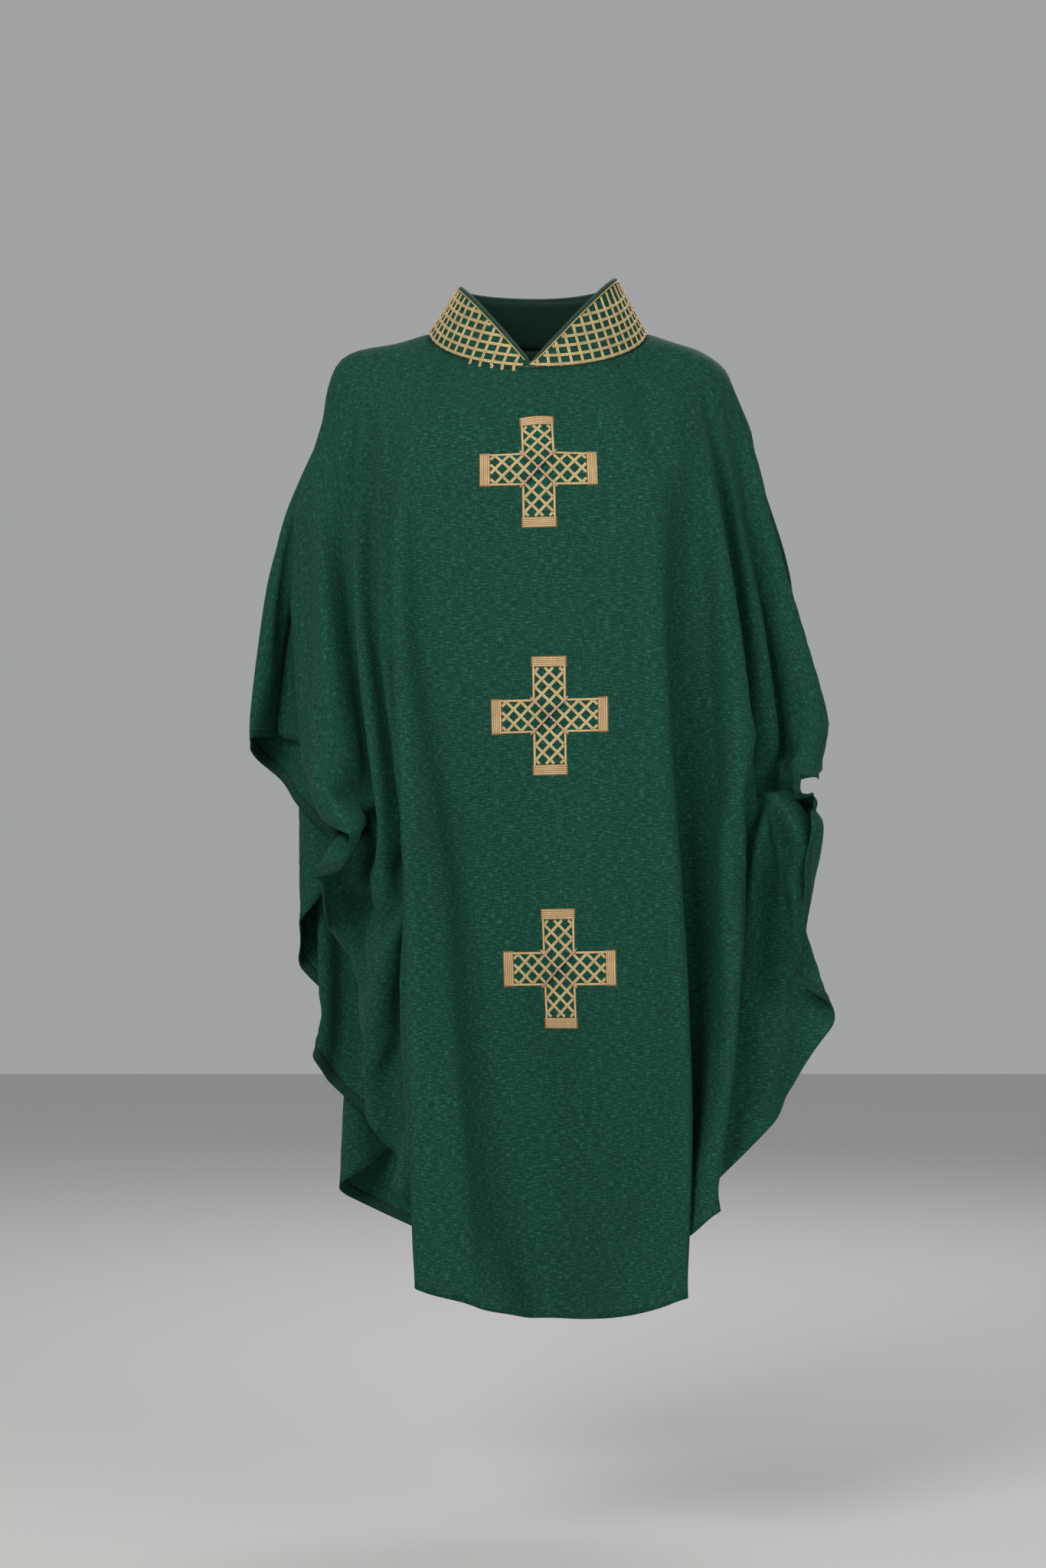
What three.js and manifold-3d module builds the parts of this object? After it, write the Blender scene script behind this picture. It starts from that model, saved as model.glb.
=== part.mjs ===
// A chasuble as it hangs on its wearer: a front and a back panel sewn at the shoulders, a stiff
// standing collar netted with gold cord, and three embroidered crosses down the front.
// Millimetres, +Z up, +X towards the wearer's left, and the front faces -Y.
// The origin is the middle of the neck opening, level with the shoulders that carry the garment.

import * as THREE from "three";
import { mergeVertices } from "three/addons/utils/BufferGeometryUtils.js";
import Module from "manifold-3d";

const wasm = await Module();
wasm.setup();

// ---------------------------------------------------------------- driving dimensions

const clothThickness = 1.2; // the wool-look weave, as a firm shell
const tapeThickness = 0.8; // hems, facing and seam tapes
const seamGap = 0.3; // between layers that are stitched together
const collarSeamGap = 1.0; // from the neckline up to the collar's lower edge

// the neck opening, seen from above an egg that dips at the front
const neckHalfWidth = 138;
const neckFrontReach = 115;
const neckBackReach = 95;
const neckFrontDrop = 58;
const neckBackDrop = 10;

// the worn outline, down from the shoulders
const sleeveTipLeft = { x: 372, z: -530 };
const sleeveTipRight = { x: -356, z: -500 };
const frontHemLevel = -1226;
const backHemLevel = -1210;
const hemWidth = 15;
const facingWidth = 30;
const seamTapeHalfWidth = 10;

// half-widths and depths of level sections, as [height, size]
const halfWidthLeft = [
  [5, 138], [-20, 194], [-62, 234], [-110, 262], [-170, 282], [-225, 296], [-356, 328],
  [-530, 372], [-900, 420], [-1400, 460],
];
const halfWidthRight = [
  [5, 138], [-26, 188], [-59, 232], [-100, 262], [-143, 282], [-200, 298], [-317, 318],
  [-500, 356], [-900, 400], [-1400, 440],
];
const frontDepth = [
  [5, 105], [-58, 118], [-110, 138], [-250, 164], [-500, 196], [-900, 226], [-1400, 254],
];
const backDepth = [
  [5, 88], [-10, 95], [-50, 120], [-110, 138], [-250, 156], [-500, 172], [-900, 188], [-1400, 202],
];
const squareness = 2.5; // 2 is an ellipse, more is boxier

// hanging folds: valleys as [height, x] down the panel, with their depth and width
const frontFolds = [
  { line: [[-120, -150], [-350, -166], [-1400, -150]], depth: 22, width: 24, from: -140, to: -430 },
  { line: [[-120, 152], [-350, 172], [-1400, 164]], depth: 22, width: 24, from: -140, to: -430 },
];
const backFolds = [
  { line: [[-120, -120], [-1400, -165]], depth: 26, width: 26, from: -160, to: -700 },
  { line: [[-120, -30], [-1400, -62]], depth: 16, width: 24, from: -260, to: -900 },
  { line: [[-120, 40], [-1400, 58]], depth: 18, width: 24, from: -240, to: -900 },
  { line: [[-120, 125], [-1400, 168]], depth: 26, width: 26, from: -160, to: -700 },
];

// the collar: a stiff band that leans in, cut away to a V at the front
const collarTopHalfWidth = 101;
const collarSideHeight = 62;
const collarBackHeight = 52;
const collarFrontReach = 112;
const collarBackReach = 64;
const collarPointHeight = 5; // what is left of the band at the bottom of the V
const collarPointGap = 1.2; // between its two ends there
const collarFaceThickness = 1.2;
const collarStiffenerThickness = 1.0;
const collarLiningThickness = 1.0;
const collarColumns = 48; // facets round the collar
const pipingDiameter = 4;

// gold work on the collar
const collarRings = 6;
const collarRingPitch = 11.6;
const collarRingLift = 1.5; // height of the lowest ring over the collar's lower edge
const collarUprights = 56;
const netCordWidth = 3;
const netCordThickness = 1;
const netGap = 0.5; // from the collar's face to the cords on it
const edgeCordDiameter = 1.6;
const edgeCordInset = 3;

// the three crosses, all alike; the front hangs a little off plumb
const crossSpan = 145;
const crossArmWidth = 38.5;
const crossBarDepth = 12;
const crossBarOverhang = 1;
const crossBarThickness = 2;
const crossOutlineWidth = 2;
const crossLatticeWidth = 3.4;
const crossLatticeDiamond = 18; // a diamond's full width
const crossCordThickness = 0.8;
const crossDiagonalReach = 24.5; // how far the two long cords reach from the centre, along X
const crossDiagonalWidth = 3.2;
const crosses = [
  { name: "upper", x: 0, z: -186, tilt: 2.0 },
  { name: "middle", x: 14, z: -493, tilt: 1.2 },
  { name: "lower", x: 27, z: -801, tilt: 0.4 },
];

// grid fineness of the cloth: columns at these angles from the centre line, closest at the folds
const quarterAngles = [0, 9, 17, 23, 27, 31, 35, 40, 46, 54, 64, 77, 90];
const shoulderRows = 5;
const shoulderLevel = -150; // below this, the rows are level
const rowStep = 65;

// ---------------------------------------------------------------- small helpers

const { sin, cos, abs, sign, pow, PI, min, max } = Math;
const lerp = THREE.MathUtils.lerp;
const smooth = THREE.MathUtils.smoothstep;

// A smooth value between [position, value] stations that are listed in falling order.
function along(stations, at) {
  const last = stations.length - 1;
  let i = 0;
  while (i < last - 1 && at < stations[i + 1][0]) i++;
  const [p0, v0] = stations[i];
  const [p1, v1] = stations[i + 1];
  const slope = (k) => {
    const a = stations[max(k - 1, 0)];
    const b = stations[min(k + 1, last)];
    return (b[1] - a[1]) / (b[0] - a[0]);
  };
  const h = p1 - p0;
  const t = THREE.MathUtils.clamp((at - p0) / h, 0, 1);
  const keep = v0 * (2 * t ** 3 - 3 * t ** 2 + 1) + v1 * (3 * t ** 2 - 2 * t ** 3);
  return keep + h * (slope(i) * (t ** 3 - 2 * t ** 2 + t) + slope(i + 1) * (t ** 3 - t ** 2));
}

function toSolid(geometry) {
  const bare = geometry.clone();
  bare.deleteAttribute("normal");
  bare.deleteAttribute("uv");
  const merged = mergeVertices(bare, 1e-4);
  const triVerts = new Uint32Array(merged.index.array);
  const vertProperties = merged.attributes.position.array;
  return new wasm.Manifold(new wasm.Mesh({ numProp: 3, vertProperties, triVerts }));
}

function toGeometry(solid) {
  const mesh = solid.getMesh();
  const geometry = new THREE.BufferGeometry();
  geometry.setAttribute("position", new THREE.BufferAttribute(mesh.vertProperties, 3));
  geometry.setIndex(new THREE.BufferAttribute(mesh.triVerts, 1));
  geometry.computeVertexNormals();
  return geometry;
}

// A closed shell between two grids of points (rows of columns), optionally joined end to end.
function shellBetween(inner, outer, closed = false) {
  const rows = outer.length;
  const columns = outer[0].length;
  const points = [...outer.flat(), ...inner.flat()];
  const half = rows * columns;
  const faces = [];
  const quad = (a, b, c, d) => faces.push(a, b, c, a, c, d);
  const at = (r, c) => r * columns + (c % columns);
  const steps = closed ? columns : columns - 1;
  for (let r = 0; r < rows - 1; r++)
    for (let c = 0; c < steps; c++) {
      quad(at(r, c), at(r + 1, c), at(r + 1, c + 1), at(r, c + 1));
      quad(half + at(r, c), half + at(r, c + 1), half + at(r + 1, c + 1), half + at(r + 1, c));
    }
  for (let c = 0; c < steps; c++) {
    quad(at(0, c), at(0, c + 1), half + at(0, c + 1), half + at(0, c));
    const r = rows - 1;
    quad(at(r, c + 1), at(r, c), half + at(r, c), half + at(r, c + 1));
  }
  if (!closed)
    for (let r = 0; r < rows - 1; r++) {
      const e = columns - 1;
      quad(at(r + 1, 0), at(r, 0), half + at(r, 0), half + at(r + 1, 0));
      quad(at(r, e), at(r + 1, e), half + at(r + 1, e), half + at(r, e));
    }
  const geometry = new THREE.BufferGeometry();
  geometry.setAttribute("position", new THREE.Float32BufferAttribute(points.flatMap((p) => p.toArray()), 3));
  geometry.setIndex(faces);
  const solid = toSolid(geometry);
  if (solid.volume() >= 0) return solid;
  const flipped = faces.map((_, i) => faces[i % 3 === 1 ? i + 1 : i % 3 === 2 ? i - 1 : i]);
  geometry.setIndex(flipped);
  return toSolid(geometry);
}

// A plate of a flat outline (x, z), standing in the X-Z plane and running from y0 to y1.
function plateAlongY(outline, y0, y1) {
  const shape = outline.isShape ? outline : new THREE.Shape(outline);
  const geometry = new THREE.ExtrudeGeometry(shape, { depth: y1 - y0, bevelEnabled: false });
  geometry.rotateX(PI / 2); // height becomes Z, and the extrusion runs towards -Y
  geometry.translate(0, y1, 0);
  return toSolid(geometry);
}

const box = (x0, x1, y0, y1, z0, z1) => {
  const geometry = new THREE.BoxGeometry(x1 - x0, y1 - y0, z1 - z0);
  return toSolid(geometry.translate((x0 + x1) / 2, (y0 + y1) / 2, (z0 + z1) / 2));
};

const largestBody = (solid) =>
  solid.decompose().reduce((best, body) => (body.volume() > best.volume() ? body : best));

// ---------------------------------------------------------------- the hanging cloth

// The seam where collar and cloth meet. Angle 0 is the front centre, 90 degrees the wearer's left.
function neckline(angle) {
  const front = cos(angle) > 0;
  const reach = cos(angle) * (front ? neckFrontReach : neckBackReach);
  const drop = abs(cos(angle)) * (front ? neckFrontDrop : neckBackDrop);
  return new THREE.Vector3(neckHalfWidth * sin(angle), -reach, -drop);
}

function foldDepth(folds, x, z) {
  let depth = 0;
  for (const fold of folds) {
    const off = (x - along(fold.line, z)) / fold.width;
    depth += fold.depth * smooth(-z, -fold.from, -fold.to) * Math.exp(-off * off);
  }
  return depth;
}

// A point of the level section at height z.
function section(angle, z) {
  const s = sin(angle);
  const c = cos(angle);
  const width = along(s > 0 ? halfWidthLeft : halfWidthRight, z);
  const depth = along(c > 0 ? frontDepth : backDepth, z);
  const x = width * sign(s) * pow(abs(s), 2 / squareness);
  const reach = depth * pow(abs(c), 2 / squareness);
  const folded = reach - foldDepth(c > 0 ? frontFolds : backFolds, x, z) * min(1, reach / 90);
  return new THREE.Vector3(x, abs(c) < 1e-9 ? 0 : -sign(c) * folded, z);
}

// A point of the cloth: the section, eased into the neckline near the top.
function clothPoint(angle, z) {
  const edge = neckline(angle);
  const pull = edge.clone().sub(section(angle, edge.z));
  const ease = 1 - smooth(edge.z - z, 0, 130);
  return section(angle, z).addScaledVector(pull, ease);
}

// One column of the cloth, from the neckline down; its first step is the facing's width.
function clothColumn(angle, lowest) {
  const fine = 80;
  const top = neckline(angle).z;
  const path = Array.from({ length: fine + 1 }, (_, i) =>
    clothPoint(angle, lerp(top, shoulderLevel, pow(i / fine, 1.6))),
  );
  const lengths = [0];
  for (let i = 1; i <= fine; i++) lengths.push(lengths[i - 1] + path[i].distanceTo(path[i - 1]));
  const pointAt = (s) => {
    let i = 1;
    while (i < fine && lengths[i] < s) i++;
    const t = (s - lengths[i - 1]) / (lengths[i] - lengths[i - 1]);
    return path[i - 1].clone().lerp(path[i], t);
  };
  const column = [path[0]];
  for (let r = 0; r < shoulderRows; r++)
    column.push(pointAt(lerp(facingWidth, lengths[fine], r / (shoulderRows - 1))));
  const levels = Math.ceil((shoulderLevel - lowest) / rowStep);
  for (let r = 1; r <= levels; r++)
    column.push(clothPoint(angle, lerp(shoulderLevel, lowest, r / levels)));
  return column;
}

// The whole cloth as a ring of columns, with a normal at each point. Column 0 is on the wearer's
// left shoulder seam, and column columnsPerHalf on the right one; the front lies in between.
const lowestHem = min(frontHemLevel, backHemLevel) - 10;
const halfAngles = [...quarterAngles.slice(1).reverse(), ...quarterAngles.map((angle) => -angle)];
const columnsPerHalf = halfAngles.length - 1;
const ringColumns = 2 * columnsPerHalf;
const clothColumns = Array.from({ length: ringColumns }, (_, c) => {
  const half = Math.floor(c / columnsPerHalf);
  const degrees = halfAngles[c % columnsPerHalf] - 180 * half;
  return clothColumn(THREE.MathUtils.degToRad(degrees), lowestHem);
});
const clothRows = clothColumns[0].map((_, r) => clothColumns.map((column) => column[r]));
const clothNormals = clothRows.map((row, r) =>
  row.map((point, c) => {
    const across = row[(c + 1) % ringColumns].clone().sub(row[(c + ringColumns - 1) % ringColumns]);
    const down = clothRows[min(r + 1, clothRows.length - 1)][c].clone();
    down.sub(clothRows[max(r - 1, 0)][c]);
    const normal = down.cross(across).normalize();
    if (c % columnsPerHalf === 0) normal.setY(0).normalize();
    const outwards = normal.x * point.x + normal.y * point.y;
    return outwards < 0 ? normal.negate() : normal;
  }),
);

// Grid of one half ("front" or "back") or the whole "ring", offset along the normals.
function clothGrid(part, offset, firstRow = 0, lastRow = clothRows.length - 1) {
  const whole = part === "ring";
  const start = part === "back" ? columnsPerHalf : 0;
  const count = whole ? ringColumns : columnsPerHalf + 1;
  const seamY = whole ? 0 : (part === "back" ? 1 : -1) * (seamGap / 2);
  const grid = [];
  for (let r = firstRow; r <= lastRow; r++) {
    const row = [];
    for (let i = 0; i < count; i++) {
      const c = (start + i) % ringColumns;
      const point = clothRows[r][c].clone().addScaledVector(clothNormals[r][c], offset);
      if (!whole && c % columnsPerHalf === 0) point.setY(seamY);
      row.push(point);
    }
    grid.push(row);
  }
  return grid;
}

const clothShell = (part, from, to, firstRow, lastRow) =>
  shellBetween(
    clothGrid(part, from, firstRow, lastRow),
    clothGrid(part, to, firstRow, lastRow),
    part === "ring",
  );

// ---------------------------------------------------------------- outlines of the panels

const farOut = 600; // clear of the cloth on every side
const v2 = (x, z) => new THREE.Vector2(x, z);

// The lower edge of a panel runs from the left sleeve tip to the right one. `side` holds the
// points down each side, and the hem between them is one smooth curve.
function panelOutline(leftSleeve, leftSide, hem, rightSide, rightSleeve) {
  const curve = (points, steps) => new THREE.SplineCurve(points).getPoints(steps);
  const edge = [
    ...leftSleeve,
    ...curve(leftSide, 14),
    ...curve(hem, 16),
    ...curve(rightSide, 14),
    ...rightSleeve,
  ];
  const tidy = edge.filter((p, i) => i === 0 || p.distanceTo(edge[i - 1]) > 2);
  return [v2(farOut, 200), v2(-farOut, 200), v2(-farOut, rightSleeve.at(-1).y - 50), ...tidy.reverse(),
    v2(farOut, leftSleeve[0].y - 50)];
}

// The outline again, moved inwards by a width.
function inset(outline, width) {
  const count = outline.length;
  const turn = THREE.ShapeUtils.area(outline) > 0 ? 1 : -1;
  return outline.map((point, i) => {
    const before = point.clone().sub(outline[(i + count - 1) % count]).normalize();
    const after = outline[(i + 1) % count].clone().sub(point).normalize();
    const mid = before.clone().add(after).normalize();
    const reach = width / max(0.5, mid.dot(after));
    return v2(point.x - turn * mid.y * reach, point.y + turn * mid.x * reach);
  });
}

const sleeveInnerLeft = v2(203, -518);
const sleeveInnerRight = v2(-211, -530);
const frontOutline = panelOutline(
  [v2(sleeveTipLeft.x, sleeveTipLeft.z), v2(290, -496), sleeveInnerLeft],
  [v2(214, -560), v2(238, -680), v2(256, -800), v2(262, -930), v2(254, -1080), v2(232, -1122)],
  [v2(214, -1180), v2(200, frontHemLevel + 22), v2(114, frontHemLevel), v2(20, frontHemLevel),
    v2(-60, frontHemLevel + 12), v2(-140, frontHemLevel + 24), v2(-184, frontHemLevel + 60)],
  [v2(-206, -1060), v2(-226, -970), v2(-240, -880), v2(-254, -790), v2(-258, -700), v2(-236, -590)],
  [sleeveInnerRight, v2(-280, -496), v2(sleeveTipRight.x, sleeveTipRight.z)],
);
const backOutline = panelOutline(
  [v2(sleeveTipLeft.x, sleeveTipLeft.z), v2(352, -580)],
  [v2(320, -660), v2(300, -755), v2(266, -870), v2(256, -990), v2(246, -1110)],
  [v2(200, backHemLevel + 36), v2(90, backHemLevel + 6), v2(-60, backHemLevel), v2(-170, backHemLevel + 34)],
  [v2(-224, -1090), v2(-228, -1020), v2(-222, -880), v2(-262, -760), v2(-300, -640)],
  [v2(-338, -552), v2(sleeveTipRight.x, sleeveTipRight.z)],
);
const frontCut = plateAlongY(frontOutline, -farOut, 50);
const backCut = plateAlongY(backOutline, -50, farOut);
const frontWithoutHem = plateAlongY(inset(frontOutline, hemWidth), -farOut, 50);
const backWithoutHem = plateAlongY(inset(backOutline, hemWidth), -50, farOut);

// ---------------------------------------------------------------- materials

const paint = (color, roughness, metalness = 0) =>
  new THREE.MeshStandardMaterial({ color, roughness, metalness });
const greenCloth = paint(0x12503f, 0.9);
const greenTape = paint(0x0f4436, 0.9);
const liningCloth = paint(0x0e3f33, 0.8);
const buckram = paint(0xd8d2c0, 0.95);
const darkPiping = paint(0x123527, 0.6);
const goldCord = paint(0xd9c074, 0.45, 0.3);
const paleCord = paint(0xd8c7a0, 0.5, 0.2);
const roseCord = paint(0xc9b49a, 0.45, 0.3);

const chasuble = new THREE.Group();
function add(name, solid, material) {
  const mesh = new THREE.Mesh(toGeometry(solid), material);
  mesh.name = name;
  chasuble.add(mesh);
}

// ---------------------------------------------------------------- panels, hems, facing, tapes

const linerFace = -clothThickness - seamGap; // outer face of whatever is stitched inside
const linerBack = linerFace - tapeThickness;

add("front_panel", clothShell("front", -clothThickness, 0).intersect(frontCut), greenCloth);
add("back_panel", clothShell("back", -clothThickness, 0).intersect(backCut), greenCloth);

const frontLiner = clothShell("front", linerBack, linerFace, 2);
const backLiner = clothShell("back", linerBack, linerFace, 2);
add("front_hem", frontLiner.intersect(frontCut).subtract(frontWithoutHem), greenTape);
add("back_hem", backLiner.intersect(backCut).subtract(backWithoutHem), greenTape);

add("neck_facing", clothShell("ring", linerBack, linerFace, 0, 1), liningCloth);

function shoulderTape(side) {
  const facingEnd = clothRows[1][side > 0 ? 0 : columnsPerHalf].x;
  const from = facingEnd + side * seamGap * 2;
  const strip = box(min(from, side * farOut), max(from, side * farOut), -seamTapeHalfWidth,
    seamTapeHalfWidth, lowestHem, 100);
  const tapeLayer = clothShell("ring", linerBack, linerFace, 1);
  const clearOfHems = inset(frontOutline, hemWidth + seamGap * 2);
  const clearOfBackHem = inset(backOutline, hemWidth + seamGap * 2);
  return largestBody(
    tapeLayer
      .intersect(strip)
      .intersect(plateAlongY(clearOfHems, -farOut, farOut))
      .intersect(plateAlongY(clearOfBackHem, -farOut, farOut)),
  );
}
add("left_shoulder_seam_tape", shoulderTape(1), greenTape);
add("right_shoulder_seam_tape", shoulderTape(-1), greenTape);

// ---------------------------------------------------------------- collar

// The top edge: straight up from the V to the sides in front view, then level round the back.
function collarTop(angle) {
  const side = abs(sin(angle));
  const front = cos(angle) > 0;
  const reach = cos(angle) * (front ? collarFrontReach : collarBackReach);
  const point = collarPointHeight - neckFrontDrop;
  const height = front
    ? lerp(point, collarSideHeight, side)
    : lerp(collarSideHeight, collarBackHeight, abs(cos(angle)));
  return new THREE.Vector3(collarTopHalfWidth * sin(angle), -reach, height);
}

// A point of the collar's outer face, at a share of its height and an offset along its normal.
function collarPoint(angle, share, offset = 0) {
  const at = (a, t) => neckline(a).setZ(neckline(a).z + collarSeamGap).lerp(collarTop(a), t);
  const step = 0.01;
  const across = at(angle + step, share).sub(at(angle - step, share));
  const up = at(angle, 1).sub(at(angle, 0));
  const normal = up.cross(across).normalize();
  const point = at(angle, share);
  if (normal.x * point.x + normal.y * point.y < 0) normal.negate();
  return point.addScaledVector(normal, offset);
}
const collarHeight = (angle) => collarPoint(angle, 1).distanceTo(collarPoint(angle, 0));

const pointAngle = Math.asin(collarPointGap / 2 / collarTopHalfWidth);
const collarAngle = (share) => lerp(pointAngle, 2 * PI - pointAngle, share);

// A strip round the collar from one whole column to its mirror image, between two offsets.
function collarBand(from, to, { low = () => 0, high = () => 1, rows = 2, firstColumn = 0 } = {}) {
  const grid = (offset) =>
    Array.from({ length: rows }, (_, r) =>
      Array.from({ length: collarColumns - 2 * firstColumn + 1 }, (_, c) => {
        const angle = collarAngle((firstColumn + c) / collarColumns);
        return collarPoint(angle, lerp(low(angle), high(angle), r / (rows - 1)), offset);
      }),
    );
  return shellBetween(grid(from), grid(to));
}

const stiffenerFace = -collarFaceThickness - seamGap;
const liningFace = stiffenerFace - collarStiffenerThickness - seamGap;
const collarBack = liningFace - collarLiningThickness;
const layered = { rows: 3 };
const stiffenerBack = stiffenerFace - collarStiffenerThickness;
add("collar_outer", collarBand(-collarFaceThickness, 0, layered), greenCloth);
add("collar_interlining", collarBand(stiffenerBack, stiffenerFace, layered), buckram);
add("collar_lining", collarBand(collarBack, liningFace, layered), liningCloth);

// A round cord along the collar, a distance over its upper edge and an offset from its face.
function collarCord(diameter, overEdge, offset, start) {
  const sides = 6;
  const round = new THREE.Shape(
    Array.from({ length: sides }, (_, i) => {
      const turn = (2 * PI * i) / sides;
      return v2((diameter / 2) * cos(turn), (diameter / 2) * sin(turn));
    }),
  );
  const points = Array.from({ length: collarColumns + 1 }, (_, c) => {
    const angle = collarAngle(lerp(start, 1 - start, c / collarColumns));
    return collarPoint(angle, 1 + overEdge / collarHeight(angle), offset);
  });
  const extrudePath = new THREE.CatmullRomCurve3(points);
  const steps = collarColumns + 8;
  return toSolid(new THREE.ExtrudeGeometry(round, { steps, extrudePath, bevelEnabled: false }));
}
const pipingOver = pipingDiameter / 2 + 2 * seamGap;
const pipingStart = 0.006; // how far round it stops short of the V
add("collar_edge_piping", collarCord(pipingDiameter, pipingOver, collarBack / 2, pipingStart), darkPiping);
const edgeCordLift = edgeCordDiameter / 2 + netGap;
const edgeCordStart = 0.03;
add("collar_edge_cord", collarCord(edgeCordDiameter, -edgeCordInset, edgeCordLift, edgeCordStart), goldCord);

// Rings of the net, parallel to the collar's lower edge and ending where the V cuts them.
const netCeiling = (angle) => collarHeight(angle) - edgeCordInset - edgeCordDiameter;
function ringBand(index, thickness) {
  const height = collarRingLift + index * collarRingPitch;
  let firstColumn = 1;
  while (netCeiling(collarAngle(firstColumn / collarColumns)) < height + netCordWidth) firstColumn++;
  const low = (angle) => height / collarHeight(angle);
  const high = (angle) => (height + netCordWidth) / collarHeight(angle);
  return collarBand(netGap, netGap + thickness, { low, high, firstColumn });
}
for (let k = 1; k < collarRings; k++)
  add(`collar_ring_cord_${k + 1}`, ringBand(k, netCordThickness), goldCord);

// The uprights stand on the lowest ring and lie over the others.
const overRings = netGap + netCordThickness + seamGap;
function upright(angle) {
  const halfTurn = netCordWidth / 2 / collarPoint(angle, 0.5).setZ(0).length();
  const foot = (collarRingLift + netCordWidth / 2) / collarHeight(angle);
  const top = netCeiling(angle) / collarHeight(angle);
  const grid = (offset) =>
    [foot, top].map((share) => [-halfTurn, halfTurn].map((turn) => collarPoint(angle + turn, share, offset)));
  return shellBetween(grid(overRings), grid(overRings + netCordThickness));
}
const uprightAngles = Array.from({ length: collarUprights }, (_, i) => (2 * PI * (i + 0.5)) / collarUprights);
const shortestUpright = collarRingLift + collarRingPitch;
const uprightNet = uprightAngles
  .filter((angle) => netCeiling(angle) > shortestUpright)
  .map(upright)
  .reduce((net, bar) => net.add(bar), ringBand(0, 2 * netCordThickness + seamGap));
add("collar_upright_cords", largestBody(uprightNet), goldCord);

// ---------------------------------------------------------------- crosses

// A cross outline with arms of a given width and reach.
function crossOutline(halfArm, reach) {
  const a = halfArm;
  return [
    v2(a, a), v2(a, reach), v2(-a, reach), v2(-a, a), v2(-reach, a), v2(-reach, -a),
    v2(-a, -a), v2(-a, -reach), v2(a, -reach), v2(a, -a), v2(reach, -a), v2(reach, a),
  ];
}
const rectangle = (x0, x1, z0, z1) => [v2(x0, z0), v2(x1, z0), v2(x1, z1), v2(x0, z1)];

function addCross({ name, x, z, tilt }) {
  const turn = THREE.MathUtils.degToRad(tilt);
  const centre = v2(0, 0);
  const place = (points) => points.map((p) => p.clone().rotateAround(centre, turn).add(v2(x, z)));
  const plate = (points) => plateAlongY(place(points), -farOut, 0);
  const layer = (thickness, lift) => clothShell("front", lift, lift + thickness, 1);
  const lowLayer = layer(crossCordThickness, seamGap);

  const reach = crossSpan / 2;
  const netReach = reach - crossBarDepth - seamGap;
  const halfArm = crossArmWidth / 2;
  const inner = crossOutlineWidth;
  const outline = plate(crossOutline(halfArm, netReach)).subtract(
    plate(crossOutline(halfArm - inner, netReach - inner)),
  );
  add(`${name}_cross_outline`, outline.intersect(lowLayer), goldCord);

  const lines = Math.ceil((netReach + halfArm) / crossLatticeDiamond);
  const field = plate(crossOutline(halfArm - inner - seamGap, netReach - inner - seamGap));
  const bars = [];
  for (let k = -lines; k <= lines; k++)
    for (const slope of [1, -1]) {
      if (k === 0) continue; // the two long cords run here
      const bar = rectangle(-crossSpan, crossSpan, -crossLatticeWidth / 2, crossLatticeWidth / 2);
      const offset = v2(0, k * crossLatticeDiamond);
      const slanted = bar.map((p) => p.rotateAround(centre, (slope * PI) / 4).add(offset));
      bars.push(plate(slanted));
    }
  const lattice = bars.reduce((net, bar) => net.add(bar)).intersect(field).intersect(lowLayer);
  add(`${name}_cross_lattice`, largestBody(lattice), goldCord);

  const wide = halfArm + crossBarOverhang;
  const barLayer = layer(crossBarThickness, seamGap);
  const endBars = {
    top: rectangle(-wide, wide, reach - crossBarDepth, reach),
    bottom: rectangle(-wide, wide, -reach, crossBarDepth - reach),
    left: rectangle(reach - crossBarDepth, reach, -wide, wide),
    right: rectangle(-reach, crossBarDepth - reach, -wide, wide),
  };
  for (const [end, points] of Object.entries(endBars))
    add(`${name}_cross_${end}_bar`, plate(points).intersect(barLayer), paleCord);

  const longBar = crossDiagonalReach * Math.SQRT2;
  const halfWide = crossDiagonalWidth / 2;
  for (const [slant, slope, level] of [["falling", -1, 1], ["rising", 1, 2]]) {
    const points = rectangle(-longBar, longBar, -halfWide, halfWide);
    points.forEach((p) => p.rotateAround(centre, (slope * PI) / 4));
    const lift = seamGap + level * (crossCordThickness + seamGap);
    add(`${name}_cross_${slant}_cord`, plate(points).intersect(layer(crossCordThickness, lift)), roseCord);
  }
}
crosses.forEach(addCross);

export default chasuble;
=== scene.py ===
import math

import bmesh
import bpy
import numpy as np
from mathutils import Matrix, Quaternion, Vector
from mathutils.bvhtree import BVHTree
from mathutils.geometry import barycentric_transform
from mathutils.kdtree import KDTree


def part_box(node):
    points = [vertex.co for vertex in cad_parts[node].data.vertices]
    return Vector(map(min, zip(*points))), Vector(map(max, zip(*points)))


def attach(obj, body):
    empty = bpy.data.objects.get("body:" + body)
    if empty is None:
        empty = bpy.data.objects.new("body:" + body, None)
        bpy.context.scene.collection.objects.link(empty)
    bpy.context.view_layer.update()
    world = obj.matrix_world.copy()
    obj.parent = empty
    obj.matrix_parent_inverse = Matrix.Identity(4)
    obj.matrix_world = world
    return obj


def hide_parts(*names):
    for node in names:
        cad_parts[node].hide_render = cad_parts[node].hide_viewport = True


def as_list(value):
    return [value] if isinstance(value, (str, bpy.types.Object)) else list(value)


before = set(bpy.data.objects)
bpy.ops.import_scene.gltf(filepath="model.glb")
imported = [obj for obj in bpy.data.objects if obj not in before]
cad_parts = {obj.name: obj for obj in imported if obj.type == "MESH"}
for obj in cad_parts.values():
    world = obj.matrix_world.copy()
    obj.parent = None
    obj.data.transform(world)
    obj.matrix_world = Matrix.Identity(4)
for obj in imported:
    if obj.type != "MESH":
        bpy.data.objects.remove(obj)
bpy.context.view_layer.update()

# A chasuble as it hangs on its wearer. Metres, +Z up, +X the wearer's left, the front faces -Y.
scene = bpy.context.scene
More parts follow.
